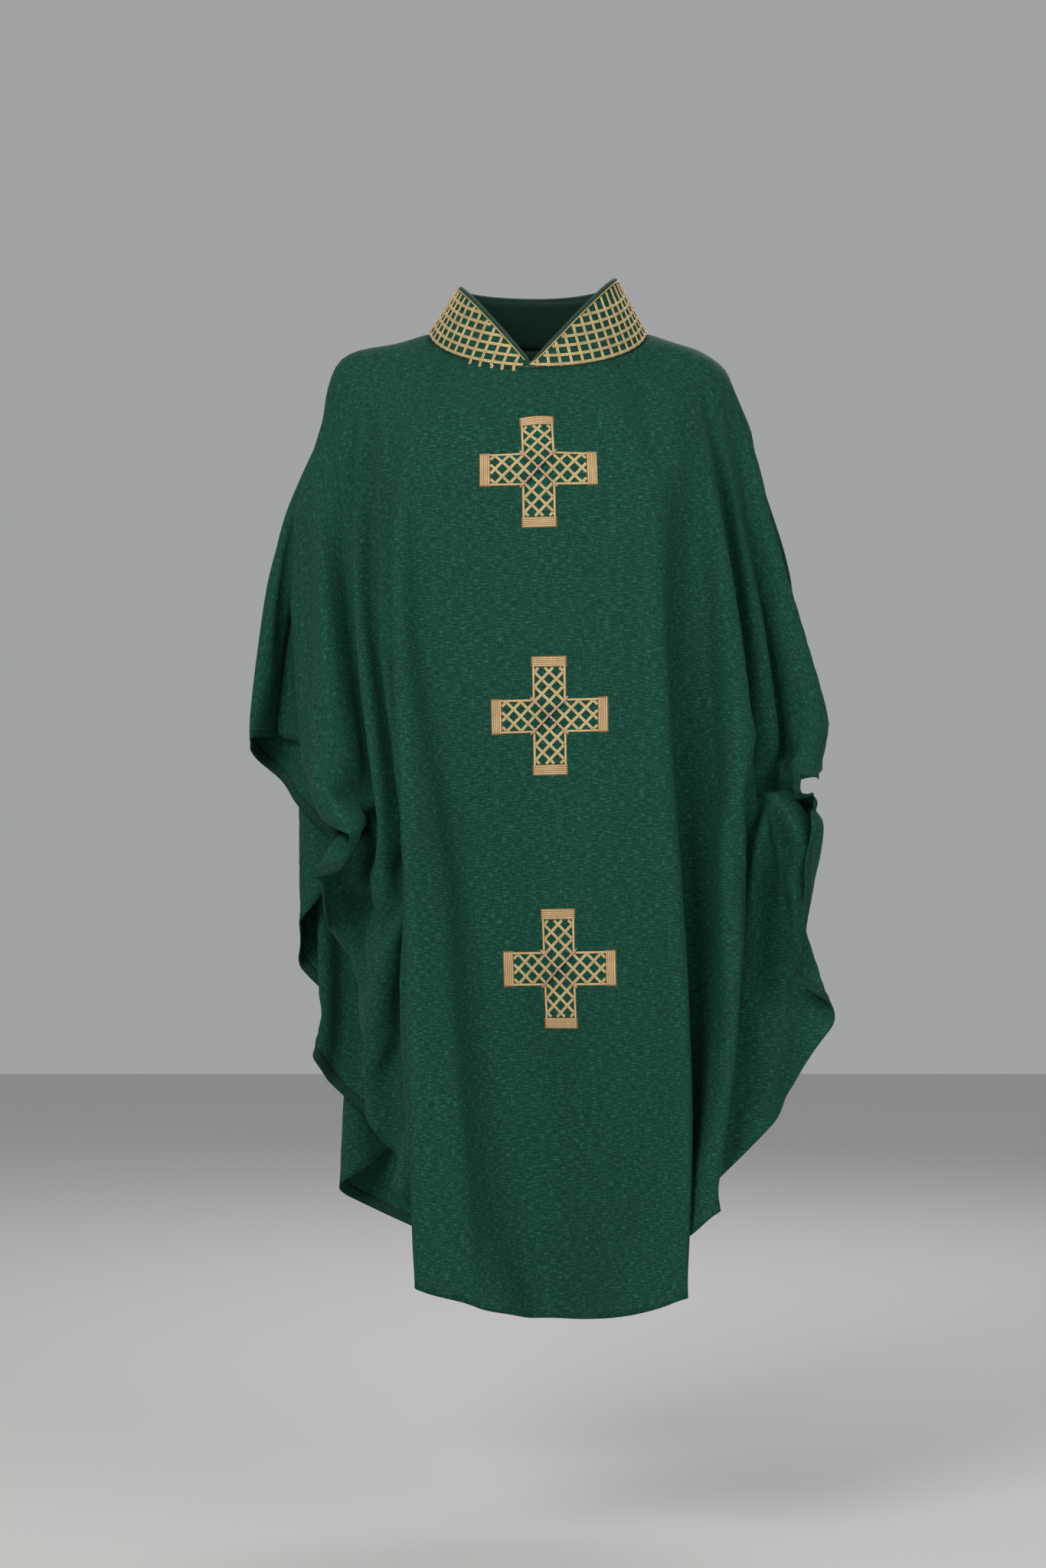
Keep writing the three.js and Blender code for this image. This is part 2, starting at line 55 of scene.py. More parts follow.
tau = 2 * math.pi
mm = 0.001


# eases a share from 0 to 1 in and out
def smooth(share):
    return share * share * (3 - 2 * share)


# ---- camera, floor and lights

studio = {
    "distance": 4.5,
    "centre": (-0.019, 0.0, -0.575),
    "viewWidth": 1.334,  # width seen at the origin
    "sensor": 36,
    "floorLevel": -1.52,
    "floorSize": 14.0,
    "floorColour": (0.62, 0.62, 0.61, 1),
    "floorRoughness": 0.9,
    # place, size, power, warmth of each soft light
    "lights": {
        "key": ((-1.7, -3.2, 1.5), 1.6, 95, (1.0, 0.97, 0.93)),
        "fill": ((2.4, -2.8, 0.4), 2.2, 38, (0.95, 0.98, 1.0)),
        "back": ((0.6, 2.6, 1.4), 1.8, 40, (1.0, 1.0, 1.0)),
    },
    "sky": (0.80, 0.81, 0.82, 1),
    "skyStrength": 0.45,
}


def makeStudio():
    scene.view_settings.view_transform = "Standard"
    lens = bpy.data.cameras.new("camera")
    lens.sensor_fit = "HORIZONTAL"
    lens.sensor_width = studio["sensor"]
    lens.lens = studio["sensor"] * studio["distance"] / studio["viewWidth"]
    camera = bpy.data.objects.new("camera", lens)
    scene.collection.objects.link(camera)
    centre = Vector(studio["centre"])
    camera.location = centre + Vector((0, -studio["distance"], 0))
    camera.rotation_euler = (math.pi / 2, 0, 0)
    scene.camera = camera
    for name, (place, size, power, tint) in studio["lights"].items():
        lamp = bpy.data.lights.new(name, "AREA")
        lamp.size = size
        lamp.energy = power
        lamp.color = tint
        holder = bpy.data.objects.new(name, lamp)
        scene.collection.objects.link(holder)
        holder.location = place
        holder.rotation_euler = (centre - holder.location).to_track_quat("-Z", "Y").to_euler()
    sky = bpy.data.worlds.new("sky")
    sky.use_nodes = True
    background = sky.node_tree.nodes["Background"]
    background.inputs["Color"].default_value = studio["sky"]
    background.inputs["Strength"].default_value = studio["skyStrength"]
    scene.world = sky
    bm = bmesh.new()
    half = studio["floorSize"] / 2
    lift = Matrix.Translation((0, 0, studio["floorLevel"]))
    bmesh.ops.create_grid(bm, x_segments=1, y_segments=1, size=half, matrix=lift)
    mesh = bpy.data.meshes.new("floor")
    bm.to_mesh(mesh)
    bm.free()
    floor = bpy.data.objects.new("floor", mesh)
    scene.collection.objects.link(floor)
    paint = bpy.data.materials.new("palePaint")
    paint.use_nodes = True
    shader = paint.node_tree.nodes["Principled BSDF"]
    shader.inputs["Base Color"].default_value = studio["floorColour"]
    shader.inputs["Roughness"].default_value = studio["floorRoughness"]
    mesh.materials.append(paint)
    print("studio ready")


makeStudio()


# ---- node helpers and the shared effects

# a node, with each of its inputs either linked to a socket or set to a value
def addNode(tree, kind, inputs=None, **settings):
    made = tree.nodes.new(kind)
    for key, value in settings.items():
        setattr(made, key, value)
    for key, value in (inputs or {}).items():
        if isinstance(value, bpy.types.NodeSocket):
            tree.links.new(value, made.inputs[key])
        else:
            made.inputs[key].default_value = value
    return made


def calc(tree, operation, *values):
    return addNode(tree, "ShaderNodeMath", dict(enumerate(values)), operation=operation).outputs[0]


def newGroup(name, inputs, outputs):
    group = bpy.data.node_groups.new(name, "ShaderNodeTree")
    group.interface.new_socket(name="Vector", in_out="INPUT", socket_type="NodeSocketVector")
    for socket, default in inputs.items():
        made = group.interface.new_socket(name=socket, in_out="INPUT", socket_type="NodeSocketFloat")
        made.default_value = default
    for socket in outputs:
        group.interface.new_socket(name=socket, in_out="OUTPUT", socket_type="NodeSocketFloat")
    return group, group.nodes.new("NodeGroupInput").outputs, group.nodes.new("NodeGroupOutput").inputs


# noise whose middle values are spread over the whole range
def spreadNoise(tree, vector, scale, detail, low, high, dimensions="3D"):
    noise = addNode(tree, "ShaderNodeTexNoise", {"Vector": vector, "Scale": scale, "Detail": detail},
                    noise_dimensions=dimensions)
    ends = {"Value": noise.outputs[0], "From Min": low, "From Max": high}
    return addNode(tree, "ShaderNodeMapRange", ends).outputs[0]


# plain weave: a woven height, and the uneven streaks of its warp and weft yarns
def makeWeaveGroup():
    group, given, result = newGroup("plainWeave", {"Threads": 900, "Streak Length": 14},
                                    ["Height", "Warp", "Weft"])
    parts = addNode(group, "ShaderNodeSeparateXYZ", {0: given["Vector"]}).outputs
    wave = calc(group, "MULTIPLY", given["Threads"], math.pi)
    across = calc(group, "SINE", calc(group, "MULTIPLY", parts[0], wave))
    down = calc(group, "SINE", calc(group, "MULTIPLY", parts[1], wave))
    woven = calc(group, "MULTIPLY_ADD", calc(group, "MULTIPLY", across, down), 0.5, 0.5)
    group.links.new(woven, result["Height"])
    long = calc(group, "DIVIDE", given["Threads"], given["Streak Length"])
    fine = given["Threads"]
    for output, (first, second) in {"Warp": (fine, long), "Weft": (long, fine)}.items():
        stretched = addNode(group, "ShaderNodeCombineXYZ", {
            0: calc(group, "MULTIPLY", parts[0], first),
            1: calc(group, "MULTIPLY", parts[1], second),
        }).outputs[0]
        group.links.new(spreadNoise(group, stretched, 0.75, 2.0, 0.32, 0.68, "2D"), result[output])
    return group


# ridges that wind round a cord: UV runs along the cord in metres and once round it
def makeTwistGroup():
    group, given, result = newGroup("cordTwist", {"Pitch": 0.003, "Turns": 2}, ["Ridge"])
    parts = addNode(group, "ShaderNodeSeparateXYZ", {0: given["Vector"]}).outputs
    along = calc(group, "DIVIDE", parts[0], given["Pitch"])
    around = calc(group, "MULTIPLY", parts[1], given["Turns"])
    phase = calc(group, "MULTIPLY", calc(group, "ADD", along, around), tau)
    ridge = calc(group, "MULTIPLY_ADD", calc(group, "SINE", phase), 0.5, 0.5)
    group.links.new(ridge, result["Ridge"])
    return group


# slow unevenness over a whole piece, from dyeing, handling and wear
def makeToneGroup():
    group, given, result = newGroup("unevenTone", {"Size": 6}, ["Tone"])
    group.links.new(spreadNoise(group, given["Vector"], given["Size"], 3.0, 0.3, 0.7), result["Tone"])
    return group


weaveGroup, twistGroup, toneGroup = makeWeaveGroup(), makeTwistGroup(), makeToneGroup()


def newMaterial(name, roughness, settings):
    material = bpy.data.materials.new(name)
    material.use_nodes = True
    tree = material.node_tree
    shader = tree.nodes["Principled BSDF"]
    shader.inputs["Roughness"].default_value = roughness
    for socket, value in settings.items():
        shader.inputs[socket].default_value = value
    finishes[name] = material
    ownPlace = addNode(tree, "ShaderNodeUVMap").outputs[0]
    return tree, shader, ownPlace, addNode(tree, "ShaderNodeTexCoord").outputs["Object"]


def giveSurface(tree, shader, colour, height, relief, depth):
    tree.links.new(colour, shader.inputs["Base Color"])
    bump = addNode(tree, "ShaderNodeBump", {"Height": height, "Strength": relief, "Distance": depth})
    tree.links.new(bump.outputs[0], shader.inputs["Normal"])


def mixColour(tree, share, first, second):
    return addNode(tree, "ShaderNodeMix", {0: share, 6: first, 7: second}, data_type="RGBA").outputs[2]


def placedGroup(tree, group, **inputs):
    named = {key.replace("_", " "): value for key, value in inputs.items()}
    return addNode(tree, "ShaderNodeGroup", named, node_tree=group).outputs


# red, green and blue out of 255, as a linear colour
def linear(colour):
    return (*(((c / 255 + 0.055) / 1.055) ** 2.4 if c > 10 else c / 255 / 12.92 for c in colour), 1)


finishes = {}
clothLook = {"slub": 6, "warpShare": 0.45, "weftShare": 0.55, "slubGlow": 0.8, "unevenness": 0.16,
             "depth": 0.0006}
cordLook = {"ridgeShadeShare": 0.75, "toneShare": 0.25, "roughnessSpread": 0.12, "depth": 0.0003}


# woven cloth: base colour between the yarns, with lighter and darker yarns both ways
def clothMaterial(name, colours, threads, roughness=0.88, sheen=0.14, relief=0.35):
    look = clothLook
    deep, middle, light = map(linear, colours)
    tree, shader, flatCut, place = newMaterial(name, roughness, {
        "Sheen Weight": sheen, "Sheen Roughness": 0.45, "Sheen Tint": light, "Specular IOR Level": 0.25,
    })
    weave = placedGroup(tree, weaveGroup, Vector=flatCut, Threads=threads, Streak_Length=look["slub"])
    tone = placedGroup(tree, toneGroup, Vector=place, Size=5)["Tone"]
    weft = calc(tree, "MULTIPLY", weave["Weft"], look["weftShare"])
    yarns = calc(tree, "MULTIPLY_ADD", weave["Warp"], look["warpShare"], weft)
    thick = calc(tree, "POWER", calc(tree, "MULTIPLY", weave["Weft"], yarns), 3)
    base = mixColour(tree, yarns, deep, middle)
    lit = mixColour(tree, calc(tree, "MULTIPLY", thick, look["slubGlow"]), base, light)
    shade = calc(tree, "MULTIPLY", tone, look["unevenness"])
    height = calc(tree, "MULTIPLY_ADD", yarns, 0.6, calc(tree, "MULTIPLY", weave["Height"], 0.7))
    giveSurface(tree, shader, mixColour(tree, shade, lit, deep), height, relief, look["depth"])


# twisted or satin cord: painted highlight on the crowns of the twist and painted shade in its grooves, with
# a random tone over them
def cordMaterial(name, colours, roughness, metallic, pitch, turns=2, coat=0.0, relief=0.5):
    look = cordLook
    # the first colour is painted shade for the grooves, the second a painted highlight for the crowns
    groove, crownHighlight = map(linear, colours)
    tree, shader, alongCord, place = newMaterial(name, roughness, {
        "Metallic": metallic, "Coat Weight": coat, "Coat Roughness": 0.3, "Sheen Weight": 0.15,
        "Anisotropic": 0.35,
    })
    ridge = placedGroup(tree, twistGroup, Vector=alongCord, Pitch=pitch, Turns=turns)["Ridge"]
    tone = placedGroup(tree, toneGroup, Vector=place, Size=60)["Tone"]
    toned = calc(tree, "MULTIPLY", tone, look["toneShare"])
    # painted light and shade: the twist ridge mixes from the painted groove shade to the painted crown
    # highlight, and the random tone adds real unevenness
    share = calc(tree, "MULTIPLY_ADD", ridge, look["ridgeShadeShare"], toned)
    spread = look["roughnessSpread"]
    rough = calc(tree, "MULTIPLY_ADD", tone, spread, roughness - spread / 2)
    tree.links.new(rough, shader.inputs["Roughness"])
    giveSurface(tree, shader, mixColour(tree, share, groove, crownHighlight), ridge, relief, look["depth"])


clothMaterial("greenCloth", ((5, 48, 37), (14, 76, 60), (48, 116, 96)), 900)
clothMaterial("greenTape", ((6, 42, 33), (14, 62, 50), (40, 92, 76)), 1300)
clothMaterial("liningCloth", ((7, 38, 31), (13, 54, 44), (30, 76, 64)), 1800, 0.7, 0.1, 0.15)
clothMaterial("buckram", ((176, 168, 146), (205, 198, 178), (228, 222, 206)), 600, 0.95, 0.05, 0.6)
# each cord below: painted groove shade first, painted crown highlight second
cordMaterial("darkPiping", ((8, 34, 26), (26, 66, 52)), 0.7, 0.0, 0.0016, relief=0.4)
cordMaterial("goldNet", ((134, 102, 48), (244, 222, 164)), 0.4, 0.25, 0.0026, relief=0.7)
cordMaterial("goldThread", ((150, 112, 48), (232, 203, 132)), 0.36, 0.35, 0.0018)
cordMaterial("rimThread", ((150, 96, 40), (214, 162, 88)), 0.4, 0.3, 0.0014)
cordMaterial("paleSatin", ((158, 130, 76), (242, 226, 174)), 0.42, 0.12, 0.0011, 1, 0.15, 0.35)
cordMaterial("barSatin", ((164, 130, 84), (236, 218, 176)), 0.45, 0.1, 0.0011, 1, 0.12, 0.35)
cordMaterial("roseCord", ((128, 92, 66), (222, 190, 156)), 0.38, 0.2, 0.0024, coat=0.1)
cordMaterial("greenThread", ((10, 50, 40), (40, 104, 84)), 0.6, 0.0, 0.001)
print("materials ready:", len(finishes))


# ---- the cut: both panels as one flat pattern, folded out along the shoulder line

cut = {
    "spacing": 0.02,
    "tip": 0.70,  # half the width, to the end of the sleeve
    "slope": math.tan(math.radians(20)),  # fall of the shoulder line
    "sleeveSide": 0.30,  # straight side below the tip
    "roundness": 2.05,  # of the lower corners, 2 is an ellipse
    "frontLength": 1.292,
    "backLength": 1.27,
    "neckFront": 0.123,  # depth of the neck hole in the flat cut
    "neckBack": 0.0955,
    "neckSteps": 720,
    "neckZone": 0.2,  # edges nearer the middle than this belong to the neck hole
    "mergeShare": 0.15,  # points closer than this share of the spacing become one
}
collarFoot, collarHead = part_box("collar_outer")
neck = {
    "halfWidth": round(collarHead.x, 3),
    "frontReach": round(-collarFoot.y, 3),
    "backReach": round(collarHead.y, 3),
    "frontDrop": 0.058,
    "heldDrop": 0.045,  # while the cloth falls; its front is eased down to the collar afterwards
    "backDrop": 0.010,
}


def seamLevel(x):
    return -cut["slope"] * max(0.0, abs(x) - neck["halfWidth"])


def neckDepth(y):
    return cut["neckFront"] if y < 0 else cut["neckBack"]


# how many times further out than the neck hole's edge a place in the cut lies
def ringOf(x, y):
    return math.hypot(x / neck["halfWidth"], y / neckDepth(y))


# the edge of one half panel, from the sleeve tip to the centre of the hem, as (x, z)
def panelEdge(length, sidePoints=60, cornerPoints=401):
    tipLevel = seamLevel(cut["tip"])
    step = cut["sleeveSide"] / sidePoints
    points = [(cut["tip"], tipLevel - step * k) for k in range(sidePoints)]
    level = tipLevel - cut["sleeveSide"]
    power = 2 / cut["roundness"]
    for k in range(cornerPoints):
        turn = k / (cornerPoints - 1) * math.pi / 2
        x = cut["tip"] * math.cos(turn) ** power
        points.append((x, level - (length + level) * math.sin(turn) ** power))
    return points


def isInside(x, y, corners):
    inside = False
    before = corners[-1]
    for corner in corners:
        if (corner[1] > y) != (before[1] > y):
            if x < (before[0] - corner[0]) * (y - corner[1]) / (before[1] - corner[1]) + corner[0]:
                inside = not inside
        before = corner
    return inside


def nearestOf(points):
    tree = KDTree(len(points))
    for i, point in enumerate(points):
        tree.insert(point, i)
    tree.balance()
    return lambda place: tree.find(place)[0]


# the cut as a plane mesh: x across, and y the distance from the seam, minus in front
def makePattern():
    edges = {}
    for side, length in ((-1, cut["frontLength"]), (1, cut["backLength"])):
        edges[side] = [(x, seamLevel(x) - z) for x, z in panelEdge(length)]
    rims = {}
    for side, edge in edges.items():
        thinned = edge[::4] + [edge[-1]]
        rims[side] = thinned + [(-x, y) for x, y in reversed(thinned)]
    columns = int(round(2 * cut["tip"] / cut["spacing"]))
    columns += columns % 2
    across = np.linspace(-cut["tip"], cut["tip"], columns + 1)
    step = 2 * cut["tip"] / columns
    rowsFront, rowsBack = (int(math.ceil(max(y for _, y in edges[side]) / step)) for side in (-1, 1))
    down = np.arange(-rowsFront, rowsBack + 1) * step
    bm = bmesh.new()
    corners = {}
    for j in range(len(down) - 1):
        for i in range(columns):
            x, y = (across[i] + across[i + 1]) / 2, (down[j] + down[j + 1]) / 2
            if (x / neck["halfWidth"]) ** 2 + (y / neckDepth(y)) ** 2 < 1:
                continue
            if not isInside(x, abs(y), rims[-1 if y < 0 else 1]):
                continue
            ring = [(i, j), (i + 1, j), (i + 1, j + 1), (i, j + 1)]
            for a, b in ring:
                if (a, b) not in corners:
                    corners[a, b] = bm.verts.new((across[a], down[b], 0))
            bm.faces.new([corners[corner] for corner in ring])
    steps = cut["neckSteps"]
    hole = nearestOf([
        Vector((neck["halfWidth"] * math.cos(tau * k / steps),
                (cut["neckBack"] if k < steps / 2 else cut["neckFront"]) * math.sin(tau * k / steps), 0))
        for k in range(steps)
    ])
    outer = []
    for side, edge in edges.items():
        for x, y in edge:
            outer += [Vector((x, side * y, 0)), Vector((-x, side * y, 0))]
    rim = nearestOf(outer)
    for vert in [v for v in bm.verts if v.is_boundary]:
        nearNeck = abs(vert.co.x) < cut["neckZone"] and abs(vert.co.y) < cut["neckZone"]
        vert.co = (hole if nearNeck else rim)(vert.co)
    bmesh.ops.remove_doubles(bm, verts=bm.verts[:], dist=cut["spacing"] * cut["mergeShare"])
    nextToEdge = []
    for vert in bm.verts:
        if not vert.is_boundary and abs(vert.co.y) > step * 0.5:
            if any(edge.other_vert(vert).is_boundary for edge in vert.link_edges):
                nextToEdge.append(vert)
    for _ in range(2):
        bmesh.ops.smooth_vert(bm, verts=nextToEdge, factor=0.5, use_axis_x=True, use_axis_y=True,
                              use_axis_z=False)
    mesh = bpy.data.meshes.new("pattern")
    bm.to_mesh(mesh)
    bm.free()
    return mesh


# a point of the worn neckline, by its angle from the middle of the front
def neckRing(turn, frontDrop, raised=0.0):
    c = math.cos(turn)
    reach = neck["frontReach"] if c > 0 else neck["backReach"]
    drop = frontDrop if c > 0 else neck["backDrop"]
    return Vector((neck["halfWidth"] * math.sin(turn), -c * reach, -abs(c) * drop + raised))


# where a point of the neckline is held while the cloth falls
def neckPlace(x, y):
    return neckRing(math.atan2(x / neck["halfWidth"], -y / neckDepth(y)), neck["heldDrop"])


# before it falls, the cloth lies over a roll along the shoulder line and dips to the neckline
def startPlace(x, y, roll=0.12):
    fallen = abs(y)
    side = -1 if y < 0 else 1
    turn = min(fallen / roll, math.pi / 2)
    drop = roll * math.cos(turn) - roll - max(0, fallen - roll * math.pi / 2)
    place = Vector((x, side * roll * math.sin(turn), seamLevel(x) + drop))
    ring = ringOf(x, y)
    edge = neckPlace(x, y)
    if ring < 1 + fall["edgeWidth"]:
        return edge
    if ring >= 2:
        return place
    away = Vector((x - edge.x, y - edge.y, 0))
    lying = Vector((edge.x + away.x, edge.y + away.y, edge.z - fall["lean"] * away.length))
    return place.lerp(lying, smooth(2 - ring) * fall["dip"])


# ---- the wearer's form, which the cloth falls over and which is taken away afterwards

wearer = {
    "chest": 0.120, "front": -0.080, "back": 0.062, "girth": 0.070, "chestLevel": -0.200,
    "footLevel": -1.400, "footWider": 0.005, "footFront": 0.005, "footBack": -0.020,
    "shoulder": (0.150, 0.005, -0.084, 0.068),
    "armLevel": -0.085,
    "armOut": {1: 0.185, -1: 0.205},
    "upperArm": 0.298, "upperGirth": (0.058, 0.054),
    "foreArm": 0.262, "foreGirth": (0.050, 0.050),
    "upperHang": {1: (0.060, 0.010, -0.290), -1: (0.038, 0.010, -0.292)},
    "foreHang": {1: (-0.020, -0.090, -0.238), -1: (-0.015, -0.090, -0.238)},
    "armsOutSlope": math.radians(17),
    "armMoves": 25,
}
fall = {
    "settle": 25, "lower": 50, "rest": 45,  # frames: arms out, arms coming down, hanging still
    "gravity": (0.17, 0, -9.81),  # the weight of the folds draws the hem a little to one side
    "stiffness": 40, "shear": 10,
    "friction": 20,
    # bending stiffness: along the shoulder line, in plain cloth, and down the front's embroidered
    # middle, which is stiff out to the first of the two strip widths and plain from the second
    "soft": 0.02, "plain": 0.22, "stiff": 5.0,
    "seamHalf": 0.02,
    "strip": (0.10, 0.16),
    "edgeWidth": 0.01,
    "dip": 0.7,  # how far the cloth near the neck starts in its worn place
    "lean": 0.25,  # slope of that place
    "easeTo": 1.9,  # the front is eased down to the collar as far out as this
    "foremost": 0.225,  # folds that swing out further than this are brought back,
    "foldsBack": 0.07,  # by half when they are this much too far out
}


def hullOf(name, balls, subdivisions=3):
    bm = bmesh.new()
    for x, y, z, radius in balls:
        spot = Matrix.Translation((x, y, z))
        bmesh.ops.create_icosphere(bm, subdivisions=subdivisions, radius=radius, matrix=spot)
    made = bmesh.ops.convex_hull(bm, input=bm.verts[:])
    loose = [g for g in made["geom_interior"] if isinstance(g, bmesh.types.BMVert)]
    bmesh.ops.delete(bm, geom=loose, context="VERTS")
    bmesh.ops.recalc_face_normals(bm, faces=bm.faces[:])
    mesh = bpy.data.meshes.new(name)
    bm.to_mesh(mesh)
    bm.free()
    form = bpy.data.objects.new(name, mesh)
    scene.collection.objects.link(form)
    form.modifiers.new("collision", "COLLISION")
    form.collision.thickness_outer = 0.004
    form.collision.thickness_inner = 0.05
    form.collision.cloth_friction = fall["friction"]
    form.collision.damping = 0.3
    return form


def bodyRing(level, width, front, back):
    return [(side * width, y, level, wearer["girth"]) for side in (-1, 1) for y in (front, back)]


def makeLimb(name, length, girth):
    return hullOf(name, [(0, 0, 0, girth[0]), (0, 0, -length, girth[1])], 2)


def makeWearer():
    chest, front, back = wearer["chest"], wearer["front"], wearer["back"]
    x, y, z, radius = wearer["shoulder"]
    lowest = bodyRing(wearer["footLevel"], chest + wearer["footWider"], front + wearer["footFront"],
                      back + wearer["footBack"])
    highest = [(-x, y, z, radius), (x, y, z, radius)]
    forms = [hullOf("torso", [*highest, *bodyRing(wearer["chestLevel"], chest, front, back), *lowest])]
    for side in (1, -1):
        upper = makeLimb("upperArm", wearer["upperArm"], wearer["upperGirth"])
        fore = makeLimb("foreArm", wearer["foreArm"], wearer["foreGirth"])
        lowerArm(side, upper, fore)
        forms += [upper, fore]
    return forms


# the arms start straight out along the shoulder line and come down to their hanging place
def lowerArm(side, upper, fore):
    slope = wearer["armsOutSlope"]
    out = Vector((side * math.cos(slope), 0, -math.sin(slope)))
    shoulder = Vector((side * wearer["armOut"][side], 0, wearer["armLevel"]))
    hang = [Vector(wearer[name][side]).normalized() for name in ("upperHang", "foreHang")]
    hang = [Vector((side * d.x, d.y, d.z)) for d in hang]
    down = Vector((0, 0, -1))
    moves = [(1, 0.0)]
    for k in range(wearer["armMoves"]):
        t = k / (wearer["armMoves"] - 1)
        moves.append((fall["settle"] + fall["lower"] * t, smooth(t)))
    for part in (upper, fore):
        part.rotation_mode = "QUATERNION"
    for at, share in moves:
        upperWay, foreWay = (Quaternion(out.cross(d).normalized(), out.angle(d) * share) @ out for d in hang)
        upper.location = shoulder
        upper.rotation_quaternion = down.rotation_difference(upperWay)
        fore.location = shoulder + upperWay * wearer["upperArm"]
        fore.rotation_quaternion = down.rotation_difference(foreWay)
        for part in (upper, fore):
            part.keyframe_insert("location", frame=at)
            part.keyframe_insert("rotation_quaternion", frame=at)


# lets the cloth fall, and gives the pattern's faces, its flat cut and its worn shape
def hangCloth():
    mesh = makePattern()
    cloth = bpy.data.objects.new("pattern", mesh)
    scene.collection.objects.link(cloth)
    spots = [(v.co.x, v.co.y) for v in mesh.vertices]
    flat = np.array([(x, seamLevel(x) - abs(y)) for x, y in spots])
    start = [startPlace(x, y) for x, y in spots]
    for i, place in enumerate(start):
        mesh.vertices[i].co = place
    rings = [ringOf(x, y) for x, y in spots]
    neckline = [i for i, ring in enumerate(rings) if abs(ring - 1) < fall["edgeWidth"]]
    cloth.vertex_groups.new(name="neckline").add(neckline, 1.0, "REPLACE")
    cloth.shape_key_add(name="Basis")
    sewn = cloth.shape_key_add(name="sewnNeckline")
    for i in neckline:
        sewn.data[i].co = neckPlace(*spots[i])
    for at, share in ((1, 0.0), (fall["settle"] * 0.6, 1.0)):
        sewn.value = share
        sewn.keyframe_insert("value", frame=at)
    body = cloth.vertex_groups.new(name="body")
    plain = (fall["plain"] - fall["soft"]) / (fall["stiff"] - fall["soft"])
    inner, outer = fall["strip"]
    for i, (x, y) in enumerate(spots):
        weight = 0.0 if abs(y) < fall["seamHalf"] else plain
        if y < -fall["seamHalf"]:
            share = min(max((outer - abs(x)) / (outer - inner), 0), 1)
            weight += (1 - plain) * share
        body.add([i], weight, "REPLACE")
    forms = makeWearer()
    modifier = cloth.modifiers.new("cloth", "CLOTH")
    settings = modifier.settings
    settings.quality = 6
    settings.mass = 0.3
    settings.air_damping = 1.0
    settings.tension_stiffness = settings.compression_stiffness = fall["stiffness"]
    settings.shear_stiffness = fall["shear"]
    settings.bending_model = "ANGULAR"
    settings.bending_stiffness = fall["soft"]
    settings.bending_damping = 0.5
    settings.vertex_group_bending = "body"
    settings.bending_stiffness_max = fall["stiff"]
    settings.vertex_group_mass = "neckline"
    settings.pin_stiffness = 1.0
    contact = modifier.collision_settings
    contact.distance_min = 0.004
    contact.use_self_collision = True
    contact.self_distance_min = 0.004
    contact.self_friction = 5
    contact.collision_quality = 3
    end = fall["settle"] + fall["lower"] + fall["rest"]
    modifier.point_cache.frame_start = scene.frame_start = 1
    modifier.point_cache.frame_end = scene.frame_end = end + 5
    scene.gravity = fall["gravity"]
    for at in range(1, end + 1):
        scene.frame_set(at)
    hung = cloth.evaluated_get(bpy.context.evaluated_depsgraph_get()).data
    worn = np.array([v.co[:] for v in hung.vertices])
    settleFront(worn, spots, rings)
    faces = [list(polygon.vertices) for polygon in mesh.polygons]
    spots = np.array(spots)
    for form in [*forms, cloth]:
        bpy.data.objects.remove(form)
    scene.frame_set(1)
    print("cloth hung:", len(worn), "points")
    return faces, spots, flat, worn


# eases the front of the neckline down to the collar, and brings the foremost folds back
def settleFront(worn, spots, rings):
    ease = neck["frontDrop"] - neck["heldDrop"]
    for i, (_, y) in enumerate(spots):
        near = min(max(fall["easeTo"] - rings[i], 0) / (fall["easeTo"] - 1), 1)
        if y < 0:
            worn[i, 2] -= ease * smooth(near) * -y / neckDepth(y) / rings[i]
    ahead = np.maximum(-fall["foremost"] - worn[:, 1], 0)
    worn[:, 1] += ahead - ahead / (1 + ahead / fall["foldsBack"])


clothFaces, clothSpots, clothFlat, clothWorn = hangCloth()


# ---- finishing a piece, and the three ways of making one: panel, strip and cord

def finishPiece(piece, finish, slot, nodes=()):
    scene.collection.objects.link(piece)
    piece.data.materials.clear()
    piece.data.materials.append(finishes[finish])
    for polygon in piece.data.polygons:
        polygon.use_smooth = True
    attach(piece, "root")
    if nodes:
        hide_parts(*nodes)
    return piece


def thicken(piece, thickness):
    wall = piece.modifiers.new("wall", "SOLIDIFY")
    wall.thickness = thickness
    wall.offset = -1
    wall.use_even_offset = False


clothThickness = 0.9 * mm


def makePanel(name, side, node):
    keep = [face for face in clothFaces if side * np.mean([clothSpots[v][1] for v in face]) > 0]
    used = sorted({v for face in keep for v in face})
    index = {v: i for i, v in enumerate(used)}
    mesh = bpy.data.meshes.new(name)
    mesh.from_pydata([clothWorn[v] for v in used], [], [[index[v] for v in face] for face in keep])
    uv = mesh.uv_layers.new(name="UVMap")
    for loop in mesh.loops:
        uv.data[loop.index].uv = clothFlat[used[loop.vertex_index]]
    rough = bpy.data.objects.new(name + "Coarse", mesh)
    scene.collection.objects.link(rough)
    smoothing = rough.modifiers.new("smooth", "SUBSURF")
    smoothing.levels = smoothing.render_levels = 1
    dg = bpy.context.evaluated_depsgraph_get()
    fine = bpy.data.meshes.new_from_object(rough.evaluated_get(dg))
    fine.name = name
    bpy.data.objects.remove(rough)
    panel = bpy.data.objects.new(name, fine)
    finishPiece(panel, "greenCloth", "green_cloth", [node])
    thicken(panel, clothThickness)
    return panel


